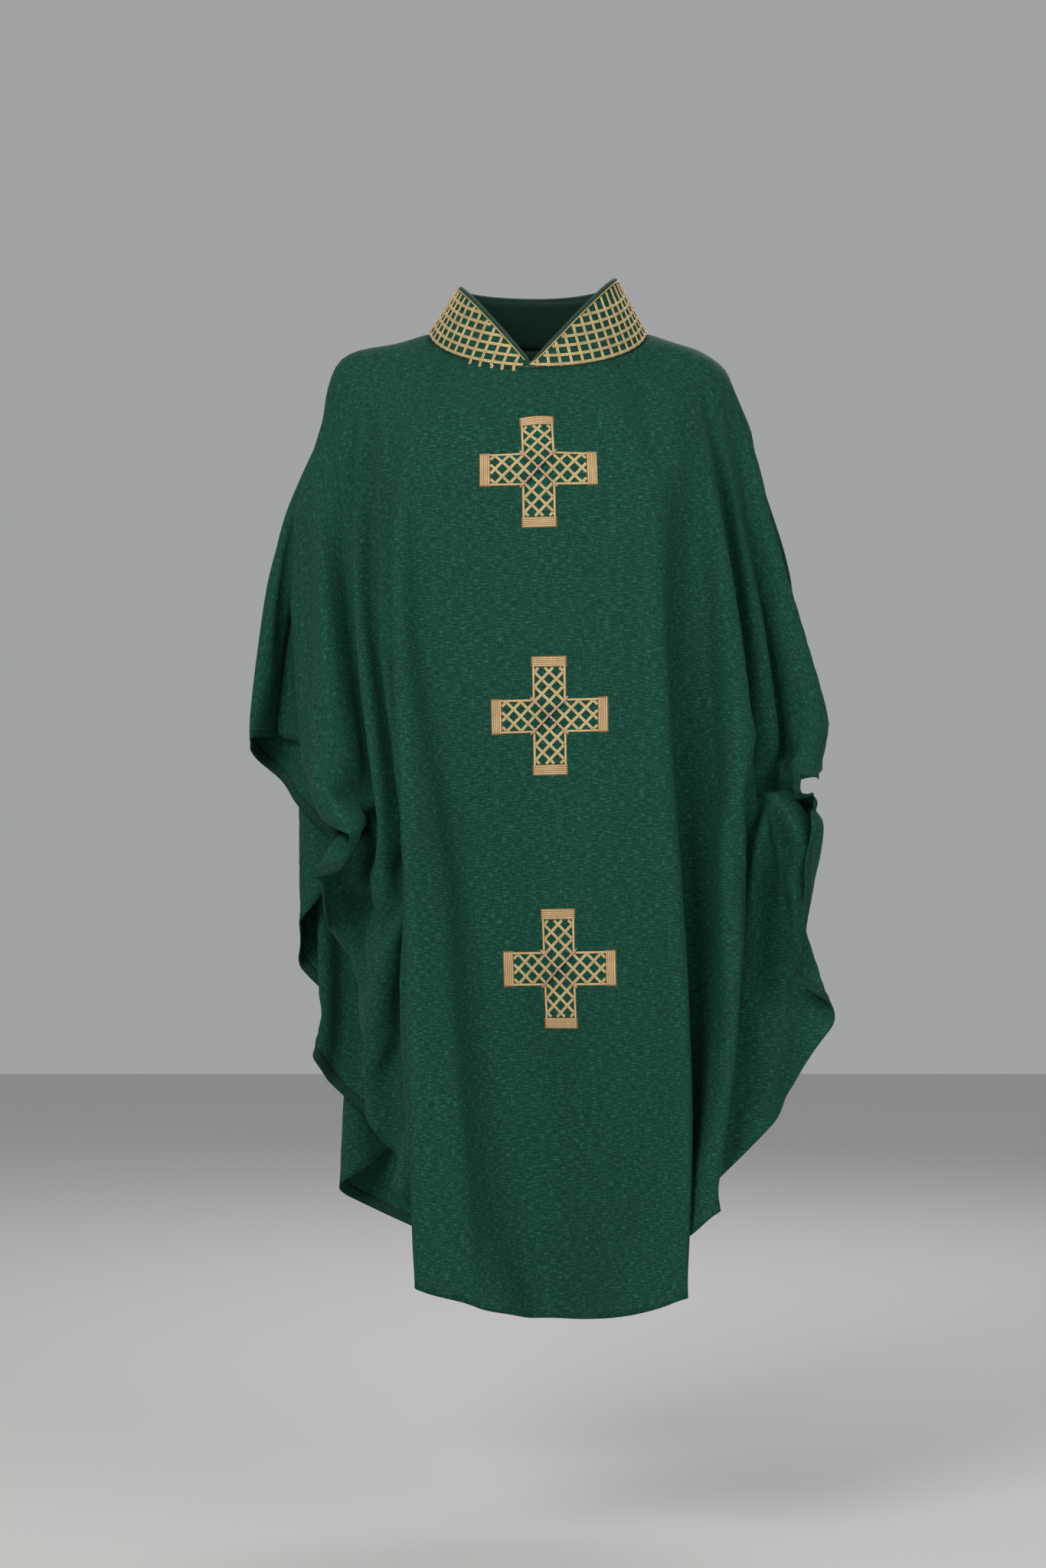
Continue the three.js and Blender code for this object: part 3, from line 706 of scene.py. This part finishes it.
# from a place (x, z) in a panel's flat cut to the point and the outward direction when worn
def clothMap(panel):
    mesh = panel.data
    mesh.calc_loop_triangles()
    flat = [None] * len(mesh.vertices)
    uv = mesh.uv_layers[0].data
    for loop in mesh.loops:
        flat[loop.vertex_index] = Vector((uv[loop.index].uv[0], uv[loop.index].uv[1], 0))
    points = [v.co.copy() for v in mesh.vertices]
    normals = [v.normal.copy() for v in mesh.vertices]
    triangles = [tuple(triangle.vertices) for triangle in mesh.loop_triangles]
    tree = BVHTree.FromPolygons(flat, triangles)

    def place(x, z, lift=0.0):
        spot, _, index, _ = tree.find_nearest(Vector((x, z, 0)))
        corners = triangles[index]
        source = [flat[c] for c in corners]
        point = barycentric_transform(spot, *source, *[points[c] for c in corners])
        normal = barycentric_transform(spot, *source, *[normals[c] for c in corners]).normalized()
        return point + normal * lift, normal

    return place


# a strip of cloth: place(along, across) gives a point and the direction away from the body
def makeStrip(name, size, steps, place, thickness, finish, slot, nodes=()):
    bm = bmesh.new()
    bmesh.ops.create_grid(bm, x_segments=steps[0], y_segments=steps[1], size=0.5, calc_uvs=True)
    uv = bm.loops.layers.uv.verify()
    for face in bm.faces:
        for loop in face.loops:
            loop[uv].uv = ((loop.vert.co.x + 0.5) * size[0], (loop.vert.co.y + 0.5) * size[1])
    away = {}
    for vert in bm.verts:
        vert.co, away[vert] = place(min(max(vert.co.x + 0.5, 0), 1), min(max(vert.co.y + 0.5, 0), 1))
    bm.normal_update()
    if sum(face.normal.dot(away[face.verts[0]]) for face in bm.faces) < 0:
        bmesh.ops.reverse_faces(bm, faces=bm.faces[:])
    mesh = bpy.data.meshes.new(name)
    bm.to_mesh(mesh)
    bm.free()
    strip = bpy.data.objects.new(name, mesh)
    finishPiece(strip, finish, slot, nodes)
    thicken(strip, thickness)
    return strip


# Adds one cord to a bundle, along spots: points of its path, each with the direction away from the
# cloth. width lies along the cloth and height stands off it. ply gives it two twisted strands.
def addCord(bundle, spots, width, height, sides=8, ply=0.0, pitch=0.004, turn=1, taper=0.0):
    path, ups = (np.asarray(part, float) for part in zip(*spots))
    tangent = np.gradient(path, axis=0)
    tangent /= np.linalg.norm(tangent, axis=1)[:, None] + 1e-12
    across = np.cross(tangent, ups)
    across /= np.linalg.norm(across, axis=1)[:, None] + 1e-12
    up = np.cross(across, tangent)
    gone = np.r_[0, np.cumsum(np.linalg.norm(np.diff(path, axis=0), axis=1))]
    phi = np.arange(sides) * tau / sides
    size = np.ones(len(path))
    if taper:
        ends = np.clip(np.minimum(gone, gone[-1] - gone) / taper, 0.02, 1)
        size = np.sqrt(ends * (2 - ends))
    swell = 1 + ply * np.cos(2 * phi[None, :] - turn * tau * gone[:, None] / pitch)
    side = (np.cos(phi)[None, :] * swell * size[:, None] * width / 2)[:, :, None] * across[:, None, :]
    rise = (np.sin(phi)[None, :] * swell * size[:, None] * height / 2)[:, :, None] * up[:, None, :]
    verts = (path[:, None, :] + side + rise).reshape(-1, 3)
    base = bundle["count"]
    i = np.arange(len(path) - 1)
    j = np.arange(sides)
    here, there = base + i[:, None] * sides, base + (i[:, None] + 1) * sides
    beside = (j + 1) % sides
    quads = np.stack([here + j, there + j, there + beside, here + beside], axis=2).reshape(-1, 4)
    shape = (len(i), sides)
    u0, u1, v0 = (np.broadcast_to(part, shape) for part in (gone[:-1, None], gone[1:, None], j / sides))
    v1 = v0 + 1 / sides
    uv = np.stack([u0, v0, u1, v0, u1, v1, u0, v1], axis=2).reshape(-1, 2)
    last = base + i.size * sides
    bundle["verts"].append(verts)
    bundle["faces"] += [*quads.tolist(), [base + k for k in range(sides)],
                        [last + k for k in reversed(range(sides))]]
    bundle["uv"] += [uv, np.zeros((2 * sides, 2))]
    bundle["count"] += len(verts)


def newBundle():
    return {"verts": [], "faces": [], "uv": [], "count": 0}


def makeCords(name, bundle, finish, slot, nodes=()):
    mesh = bpy.data.meshes.new(name)
    mesh.from_pydata(np.concatenate(bundle["verts"]).tolist(), [], bundle["faces"])
    uv = mesh.uv_layers.new(name="UVMap")
    uv.data.foreach_set("uv", np.concatenate(bundle["uv"]).astype(np.float32).ravel())
    piece = bpy.data.objects.new(name, mesh)
    return finishPiece(piece, finish, slot, nodes)


# ---- panels

frontPanel = makePanel("frontPanel", -1, "front_panel")
backPanel = makePanel("backPanel", 1, "back_panel")
maps = {"front": clothMap(frontPanel), "back": clothMap(backPanel)}
lengths = {"front": cut["frontLength"], "back": cut["backLength"]}
print("panels ready:", len(frontPanel.data.polygons), len(backPanel.data.polygons), "faces")


# ---- hems: turned in, machine stitched, their raw edge overlocked

hem = {"inset": 0.0006, "step": 0.006, "width": 0.014, "behind": 0.25 * mm, "layer": 0.7 * mm,
       "rowFromEdge": 0.011, "stitch": 0.0030, "gap": 0.0012,
       "stitchShares": (0.1, 0.5, 0.85), "stitchLifts": (0.06 * mm, 0.18 * mm, 0.06 * mm),
       "zigzag": 0.0026, "zigzagWidth": 0.004, "zigzagBehind": 0.5 * mm, "thread": 0.0005}


# evenly spaced places along a panel's lower edge, from one sleeve tip to the other, moved inwards
def edgeRoute(length, inset, spacing, endGap=0.004):
    half = np.array(panelEdge(length, 12, 160))
    whole = np.concatenate([half * (-1, 1), half[::-1][1:]])
    gone = np.r_[0, np.cumsum(np.linalg.norm(np.diff(whole, axis=0), axis=1))]
    count = int((gone[-1] - 2 * endGap) / spacing)
    at = np.linspace(endGap + inset * 0.4, gone[-1] - endGap - inset * 0.4, count)
    points = np.stack([np.interp(at, gone, whole[:, k]) for k in (0, 1)], axis=1)
    way = np.gradient(points, axis=0)
    way /= np.linalg.norm(way, axis=1)[:, None]
    return points + inset * np.stack([-way[:, 1], way[:, 0]], axis=1), at


def makeHem(side):
    place, length = maps[side], lengths[side]
    outer, at = edgeRoute(length, hem["inset"], hem["step"])
    inner, _ = edgeRoute(length, hem["width"], hem["step"])

    def spot(s, t):
        k = s * (len(at) - 1)
        x, z = (1 - t) * outer[int(round(k))] + t * inner[int(round(k))]
        return place(x, z, -clothThickness - hem["behind"])

    strip = makeStrip(side + "Hem", (at[-1], hem["width"]), (len(at) - 1, 3), spot, hem["layer"],
                      "greenTape", "green_tape", [side + "_hem"])
    stitches = newBundle()
    row, _ = edgeRoute(length, hem["rowFromEdge"], hem["stitch"] + hem["gap"])
    for here, there in zip(row[:-1], row[1:]):
        ends = [here + (there - here) * share for share in hem["stitchShares"]]
        spots = [place(x, z, lift) for (x, z), lift in zip(ends, hem["stitchLifts"])]
        addCord(stitches, spots, hem["thread"], hem["thread"] * 0.8, sides=4)
    overlock = newBundle()
    run, _ = edgeRoute(length, hem["width"], hem["zigzag"] / 2)
    shift, _ = edgeRoute(length, hem["width"] - hem["zigzagWidth"], hem["zigzag"] / 2)
    back = -clothThickness - hem["layer"] - hem["zigzagBehind"]
    spots = [place(*(run[k] if k % 2 else shift[k]), back) for k in range(min(len(run), len(shift)))]
    addCord(overlock, spots, hem["thread"], hem["thread"], sides=4)
    return [strip, makeCords(side + "HemStitches", stitches, "greenThread", "green_cloth"),
            makeCords(side + "HemOverlock", overlock, "greenThread", "green_tape")]


hems = {side: makeHem(side) for side in ("front", "back")}


# ---- neck facing and shoulder tapes, on the inside

inside = {"facing": 0.030, "facingRound": 0.8, "facingBehind": 0.3 * mm, "seam": 0.001,
          "tapeHalf": 0.010, "tapeStart": 0.180, "tapeEnd": 0.020, "tapeBehind": 0.35 * mm,
          "layer": 0.6 * mm}


def facingSpot(s, t):
    turn = s * tau
    side = "back" if turn < math.pi else "front"
    depth = cut["neckBack"] if side == "back" else cut["neckFront"]
    out = t * inside["facing"] + inside["seam"]
    x = (neck["halfWidth"] + out) * math.cos(turn)
    fallen = (depth + out) * abs(math.sin(turn))
    return maps[side](x, seamLevel(x) - fallen, -clothThickness - inside["facingBehind"])


makeStrip("neckFacing", (inside["facingRound"], inside["facing"]), (144, 5), facingSpot, inside["layer"],
          "liningCloth", "lining_cloth", ["neck_facing"])


def makeTape(name, hand):
    def spot(s, t):
        x = hand * (inside["tapeStart"] + s * (cut["tip"] - inside["tapeEnd"] - inside["tapeStart"]))
        fallen = (2 * t - 1) * inside["tapeHalf"]
        side = "front" if fallen < 0 else "back"
        return maps[side](x, seamLevel(x) - abs(fallen), -clothThickness - inside["tapeBehind"])

    size = (cut["tip"] - inside["tapeStart"], 2 * inside["tapeHalf"])
    makeStrip(name + "ShoulderTape", size, (60, 4), spot, inside["layer"], "greenTape", "green_tape",
              [name + "_shoulder_seam_tape"])


makeTape("left", 1)
makeTape("right", -1)
print("hems, facing and tapes ready")


# ---- collar: a stiff band that leans in and is cut away to a V

collar = {
    "topHalfWidth": 0.101, "frontReach": neck["frontReach"] - 0.003, "backReach": 0.064,
    "tips": {1: 0.067, -1: 0.056},  # heights of the two sides
    "back": 0.050,
    "point": 0.005 - neck["frontDrop"],  # level of the bottom of the V
    "pointTurn": -0.090,  # the V sits a little towards the wearer's right
    "overlap": 0.050,  # angle that one end laps over the other
    "lapLift": 0.0028, "lapShare": 0.07,
    "seam": 0.001,
    "length": 0.78, "depth": 0.08,  # of the flat band, rounded
    "outer": 1.0 * mm, "stiffening": 1.0 * mm, "lining": 0.8 * mm, "gap": 0.25 * mm,
    "rings": 6, "pitch": 0.0116, "lowest": 0.0030,
    "uprights": 57,
    "strand": 1.95 * mm, "strandHeight": 1.3 * mm,
    "footOut": 0.0055, "feet": (-0.62, -0.12),  # cords that run on below the lowest ring, as sines
    "edgeInset": 0.0030, "edgeCord": 1.7 * mm, "piping": 4.0 * mm,
}


def collarTurn(share):
    start = collar["pointTurn"] - collar["overlap"]
    return start + share * (tau + collar["overlap"])


def collarFootPlace(turn):
    return neckRing(turn, neck["frontDrop"], collar["seam"])


# the direction round the collar's foot
def collarAside(turn):
    return collarFootPlace(turn + 0.01) - collarFootPlace(turn - 0.01)


def collarHeadPlace(turn):
    s, c = math.sin(turn), math.cos(turn)
    tip = collar["tips"][1 if s > math.sin(collar["pointTurn"]) else -1]
    if c > 0:
        middle = math.sin(collar["pointTurn"])
        share = abs(s - middle) / abs((1 if s > middle else -1) - middle)
        level = collar["point"] + (tip - collar["point"]) * share
        reach = collar["frontReach"]
    else:
        level = tip + (collar["back"] - tip) * abs(c) ** 0.8
        reach = collar["backReach"]
    return Vector((collar["topHalfWidth"] * s, -c * reach, level))


# a point of the collar's outer face: share of the way round, height over the foot, lift off the face
def collarPlace(share, height, lift=0.0, byShare=False):
    turn = collarTurn(share)
    foot, head = collarFootPlace(turn), collarHeadPlace(turn)
    rise = head - foot
    normal = collarAside(turn).cross(rise).normalized()
    if normal.dot(Vector((foot.x, foot.y, 0))) < 0:
        normal.negate()
    lift += collar["lapLift"] * smooth(max(0.0, 1 - share / collar["lapShare"]))
    t = height if byShare else height / rise.length
    return foot + rise * t + normal * lift, normal


def collarHeight(share):
    turn = collarTurn(share)
    return (collarHeadPlace(turn) - collarFootPlace(turn)).length


def makeCollarLayer(name, offset, thickness, finish, slot, node):
    makeStrip(name, (collar["length"], collar["depth"]), (180, 8),
              lambda s, t: collarPlace(s, t, offset, True), thickness, finish, slot, [node])


stiffOffset = -collar["outer"] - collar["gap"]
liningOffset = stiffOffset - collar["stiffening"] - collar["gap"]
makeCollarLayer("collarOuter", 0, collar["outer"], "greenCloth", "green_cloth", "collar_outer")
makeCollarLayer("collarStiffening", stiffOffset, collar["stiffening"], "buckram", "buckram",
                "collar_interlining")
makeCollarLayer("collarLining", liningOffset, collar["lining"], "liningCloth", "lining_cloth",
                "collar_lining")


def bandPath(height, lift, start, end, step=0.9 * mm, fromEdge=False):
    count = int((end - start) * collar["length"] / step)
    spots = []
    for share in np.linspace(start, end, count):
        level = collarHeight(share) + height if fromEdge else height
        spots.append(collarPlace(share, level, lift))
    return spots


piping = newBundle()
middle = (liningOffset - collar["lining"]) / 2
spots = bandPath(collar["piping"] * 0.32, middle, 0.004, 0.996, 2.2 * mm, True)
addCord(piping, spots, collar["piping"], collar["piping"], sides=12, taper=0.003)
makeCords("collarPiping", piping, "darkPiping", "dark_piping", ["collar_edge_piping"])

edgeCord = newBundle()
spots = bandPath(-collar["edgeInset"], collar["edgeCord"] * 0.5, 0.010, 0.990, 0.8 * mm, True)
addCord(edgeCord, spots, collar["edgeCord"], collar["edgeCord"], ply=0.14, pitch=3.0 * mm)
makeCords("collarEdgeCord", edgeCord, "goldThread", "gold_thread", ["collar_edge_cord"])


# the stretch of the collar that is at least this high
def stretchAbove(level):
    shares = [k / 720 for k in range(721) if collarHeight(k / 720) > level]
    return max(shares[0], 0.008), min(shares[-1], 0.992)


ringLift = collar["strandHeight"] / 2
for ring in range(collar["rings"]):
    level = collar["lowest"] + ring * collar["pitch"]
    start, end = stretchAbove(level + collar["edgeInset"] + collar["edgeCord"])
    ringBundle = newBundle()
    for strand in (-1, 1):
        offset = level + strand * collar["strand"] * 0.48
        addCord(ringBundle, bandPath(offset, ringLift, start, end), collar["strand"],
                collar["strandHeight"], ply=0.2, pitch=4.2 * mm, turn=strand, taper=0.0015)
    nodes = [f"collar_ring_cord_{ring + 1}"] if ring else []
    makeCords(f"collarRingCord{ring + 1}", ringBundle, "goldNet", "gold_thread", nodes)

uprightBundle = newBundle()
for k in range(collar["uprights"]):
    share = 0.012 + 0.976 * (k + 0.5) / collar["uprights"]
    top = collarHeight(share) - collar["edgeInset"] - collar["edgeCord"] * 0.4
    if top < collar["lowest"] + 0.004:
        continue
    turn = collarTurn(share)
    front = math.cos(turn) > 0
    depth = cut["neckFront"] if front else cut["neckBack"]
    for strand in (-1, 1):
        shift = strand * collar["strand"] * 0.5
        aside = collarAside(turn).normalized() * shift
        spots = []
        toes = 5 if front and collar["feet"][0] < math.sin(turn) < collar["feet"][1] else 0
        for toe in range(toes, 0, -1):
            out = collar["footOut"] * toe / toes
            x = (neck["halfWidth"] + out) * math.sin(turn)
            fallen = (depth + out) * abs(math.cos(turn))
            onCloth = maps["front" if front else "back"]
            point, up = onCloth(x, seamLevel(x) - fallen, collar["strandHeight"] * 0.5)
            spots.append((point + aside, up))
        steps = max(4, int(top / (1.1 * mm)))
        for i in range(steps + 1):
            level = top * i / steps
            near = (level - collar["lowest"]) / collar["pitch"]
            over = abs(near - round(near)) * collar["pitch"] if near < collar["rings"] - 0.5 else 1
            lift = collar["strandHeight"] * (0.5 + 0.85 * math.exp(-(over / (1.5 * mm)) ** 2))
            point, up = collarPlace(share, level, lift)
            spots.append((point + aside, up))
        addCord(uprightBundle, spots, collar["strand"], collar["strandHeight"], sides=6, ply=0.12,
                pitch=3.4 * mm, turn=strand, taper=0.0012)
makeCords("collarUprightCords", uprightBundle, "goldNet", "gold_thread", ["collar_upright_cords"])
print("collar ready")


# ---- crosses: couched cords on the front panel

cross = {
    "half": 0.0725, "halfArm": 0.0193, "barDepth": 0.0118, "barOver": 0.0018,
    # cords as (width, height)
    "outline": (1.9 * mm, 1.2 * mm), "rim": (0.7 * mm, 0.7 * mm), "rimGap": 0.0006,
    "diamond": 0.018, "inset": 0.0012, "overlap": 2.3 * mm,
    "rising": (1.75 * mm, 1.1 * mm), "falling": (1.65 * mm, 1.0 * mm), "seam": (0.7 * mm, 0.7 * mm),
    "barStrands": 5, "barStrand": (1.9 * mm, 1.7 * mm), "barSeam": (0.8 * mm, 0.8 * mm),
    "barSeamLift": 1.15 * mm,
    "longReach": 0.0236, "longCord": (3.0 * mm, 2.4 * mm), "longLift": 2.2 * mm,
    "longOver": 1.6 * mm, "longOverlap": 3.2 * mm,
    "step": 0.8 * mm,
    "centres": {"upper": (-0.006, -0.248), "middle": (0.003, -0.553), "lower": (0.010, -0.863)},
}

# the front is eased in below the neck, so a length there takes up less of the cut
easeLevels = np.arange(cut["neckFront"] + 0.004, cut["frontLength"], 0.002)
easePlaces = np.array([startPlace(0, -level) for level in easeLevels])
easeLengths = np.r_[0, np.cumsum(np.linalg.norm(np.diff(easePlaces, axis=0), axis=1))]


def easedLevel(level, above):
    length = np.interp(-level, easeLevels, easeLengths) - above
    return -float(np.interp(length, easeLengths, easeLevels))


# runs of a slanting line that lie on the cross's field, as lists of (a, b)
def runsInside(slope, offset):
    reach = cross["half"] - cross["barDepth"] - cross["inset"]
    arm = cross["halfArm"] - cross["inset"]
    runs, run = [], []
    count = int(4 * cross["half"] / cross["step"])
    for k in range(count + 1):
        along = -2 * cross["half"] + 4 * cross["half"] * k / count
        a = along / math.sqrt(2)
        b = slope * a + offset
        onField = (abs(a) < arm and abs(b) < reach) or (abs(b) < arm and abs(a) < reach)
        if onField:
            run.append((a, b))
        elif run:
            runs.append(run)
            run = []
    return [r for r in runs if len(r) > 3]


def makeCross(name, middle, centreLevel):
    place = maps["front"]

    # a cord along spots (a, b) of the cross, with one lift or one for each spot
    def lay(bundle, spots, size, lifts=0.0, shift=0.0, **more):
        way = np.gradient(np.array(spots), axis=0)
        way /= np.linalg.norm(way, axis=1)[:, None] + 1e-12
        laid = []
        for (a, b), (da, db), lift in zip(spots, way, np.broadcast_to(lifts, len(spots)).tolist()):
            level = easedLevel(centreLevel, b + da * shift)
            laid.append(place(middle + a - db * shift, level, size[1] * 0.42 + lift))
        addCord(bundle, laid, *size, **more)

    def keep(part, bundle, finish, node=None, slot="gold_thread"):
        nodes = [f"{name}_cross_{node}"] if node else []
        makeCords(f"{name}Cross{part}", bundle, finish, slot, nodes)

    def fine(corners, step=cross["step"]):
        spots = []
        for (a0, b0), (a1, b1) in zip(corners[:-1], corners[1:]):
            count = max(1, int(math.hypot(a1 - a0, b1 - b0) / step))
            spots += [(a0 + (a1 - a0) * k / count, b0 + (b1 - b0) * k / count) for k in range(count)]
        return spots + [corners[-1]]

    arm, reach = cross["halfArm"], cross["half"] - cross["barDepth"]
    outline, rims = newBundle(), newBundle()
    for qa, qb in ((1, 1), (-1, 1), (-1, -1), (1, -1)):
        corners = [(qa * arm, qb * reach), (qa * arm, qb * arm), (qa * reach, qb * arm)]
        spots = fine(corners)
        lay(outline, spots, cross["outline"], ply=0.1, pitch=2.6 * mm)
        for edge in (-1, 1):
            lay(rims, spots, cross["rim"], shift=edge * cross["outline"][0] * 0.62, sides=5)

    lattice, seams, fallingLattice = newBundle(), newBundle(), newBundle()
    lines = int(math.ceil((reach + arm) / cross["diamond"]))
    for k in range(-lines, lines + 1):
        if k == 0:
            continue
        for run in runsInside(1, k * cross["diamond"]):
            for strand in (-1, 1):
                lay(lattice, run, cross["rising"], 0.0, strand * cross["rising"][0] * 0.5,
                    ply=0.06, pitch=2.2 * mm)
            lay(seams, run, cross["seam"], cross["rising"][1] * 0.55, sides=5)
        for run in runsInside(-1, k * cross["diamond"]):
            lifts = []
            for a, b in run:
                line = (b - a) / cross["diamond"]
                off = abs(line - round(line)) * cross["diamond"] / math.sqrt(2)
                lifts.append(cross["rising"][1] * 0.9 * math.exp(-(off / cross["overlap"]) ** 2))
            for strand in (-1, 1):
                lay(fallingLattice, run, cross["falling"], lifts, strand * cross["falling"][0] * 0.5,
                    ply=0.06, pitch=2.2 * mm, turn=strand)
            lay(seams, run, cross["seam"], [lift + cross["falling"][1] * 0.55 for lift in lifts], sides=5)

    wide = arm + cross["barOver"]
    strandWidth = cross["barDepth"] / cross["barStrands"]
    for end, (da, db) in {"top": (0, 1), "bottom": (0, -1), "left": (1, 0), "right": (-1, 0)}.items():
        bar = newBundle()
        for strand in range(cross["barStrands"]):
            out = reach + (strand + 0.5) * strandWidth
            corners = [(hand * wide * db + out * da, out * db + hand * wide * da) for hand in (-1, 1)]
            spots = fine(corners, 1.0 * mm)
            lay(bar, spots, cross["barStrand"], 0.1 * mm, ply=0.05, pitch=1.8 * mm, taper=0.0012)
            if strand:
                groove = [(a - da * strandWidth / 2, b - db * strandWidth / 2) for a, b in spots]
                lay(rims, groove, cross["barSeam"], cross["barSeamLift"], sides=5)
        keep(f"{end.capitalize()}Bar", bar, "barSatin", f"{end}_bar", "pale_thread")
        inner, outer, beyond = reach - 0.0003, cross["half"] + 0.0004, wide + cross["rimGap"]
        loop = [(-beyond, inner), (beyond, inner), (beyond, outer), (-beyond, outer), (-beyond, inner)]
        loop = [(a * abs(db) + b * da, b * db + a * abs(da)) for a, b in loop]
        lay(rims, fine(loop, 0.9 * mm), cross["rim"], 0.2 * mm, sides=5)

    keep("Outline", outline, "paleSatin", "outline")
    keep("Rims", rims, "rimThread")
    keep("Lattice", lattice, "paleSatin", "lattice")
    keep("Seams", seams, "rimThread")
    keep("FallingLattice", fallingLattice, "paleSatin")
    for slant, slope, uppermost in (("falling", -1, False), ("rising", 1, True)):
        long = newBundle()
        r = cross["longReach"]
        spots = fine([(-r, -slope * r), (r, slope * r)])
        lifts = []
        for a, _ in spots:
            rise = cross["longLift"] * (0.55 + 0.45 * math.cos(math.pi * a / r / 2))
            over = cross["longOver"] * math.exp(-(a / cross["longOverlap"]) ** 2)
            lifts.append(rise + (over if uppermost else 0))
        lay(long, spots, cross["longCord"], lifts, sides=12, ply=0.1, pitch=5.2 * mm, taper=0.005)
        keep(f"{slant.capitalize()}Cord", long, "roseCord", f"{slant}_cord", "rose_gold_thread")


for name, centre in cross["centres"].items():
    makeCross(name, *centre)
print("crosses ready")


# ---- the area of each panel's flat cut worked out, and its hem pieces listed; neither result is kept

def flatArea(side):
    total = 0.0
    for face in clothFaces:
        if side * np.mean([clothSpots[v][1] for v in face]) <= 0:
            continue
        x, z = clothFlat[face].T
        total += abs(np.dot(x, np.roll(z, -1)) - np.dot(z, np.roll(x, -1))) / 2
    return float(total)


flatArea(-1)
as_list(hems["front"])
flatArea(1)
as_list(hems["back"])
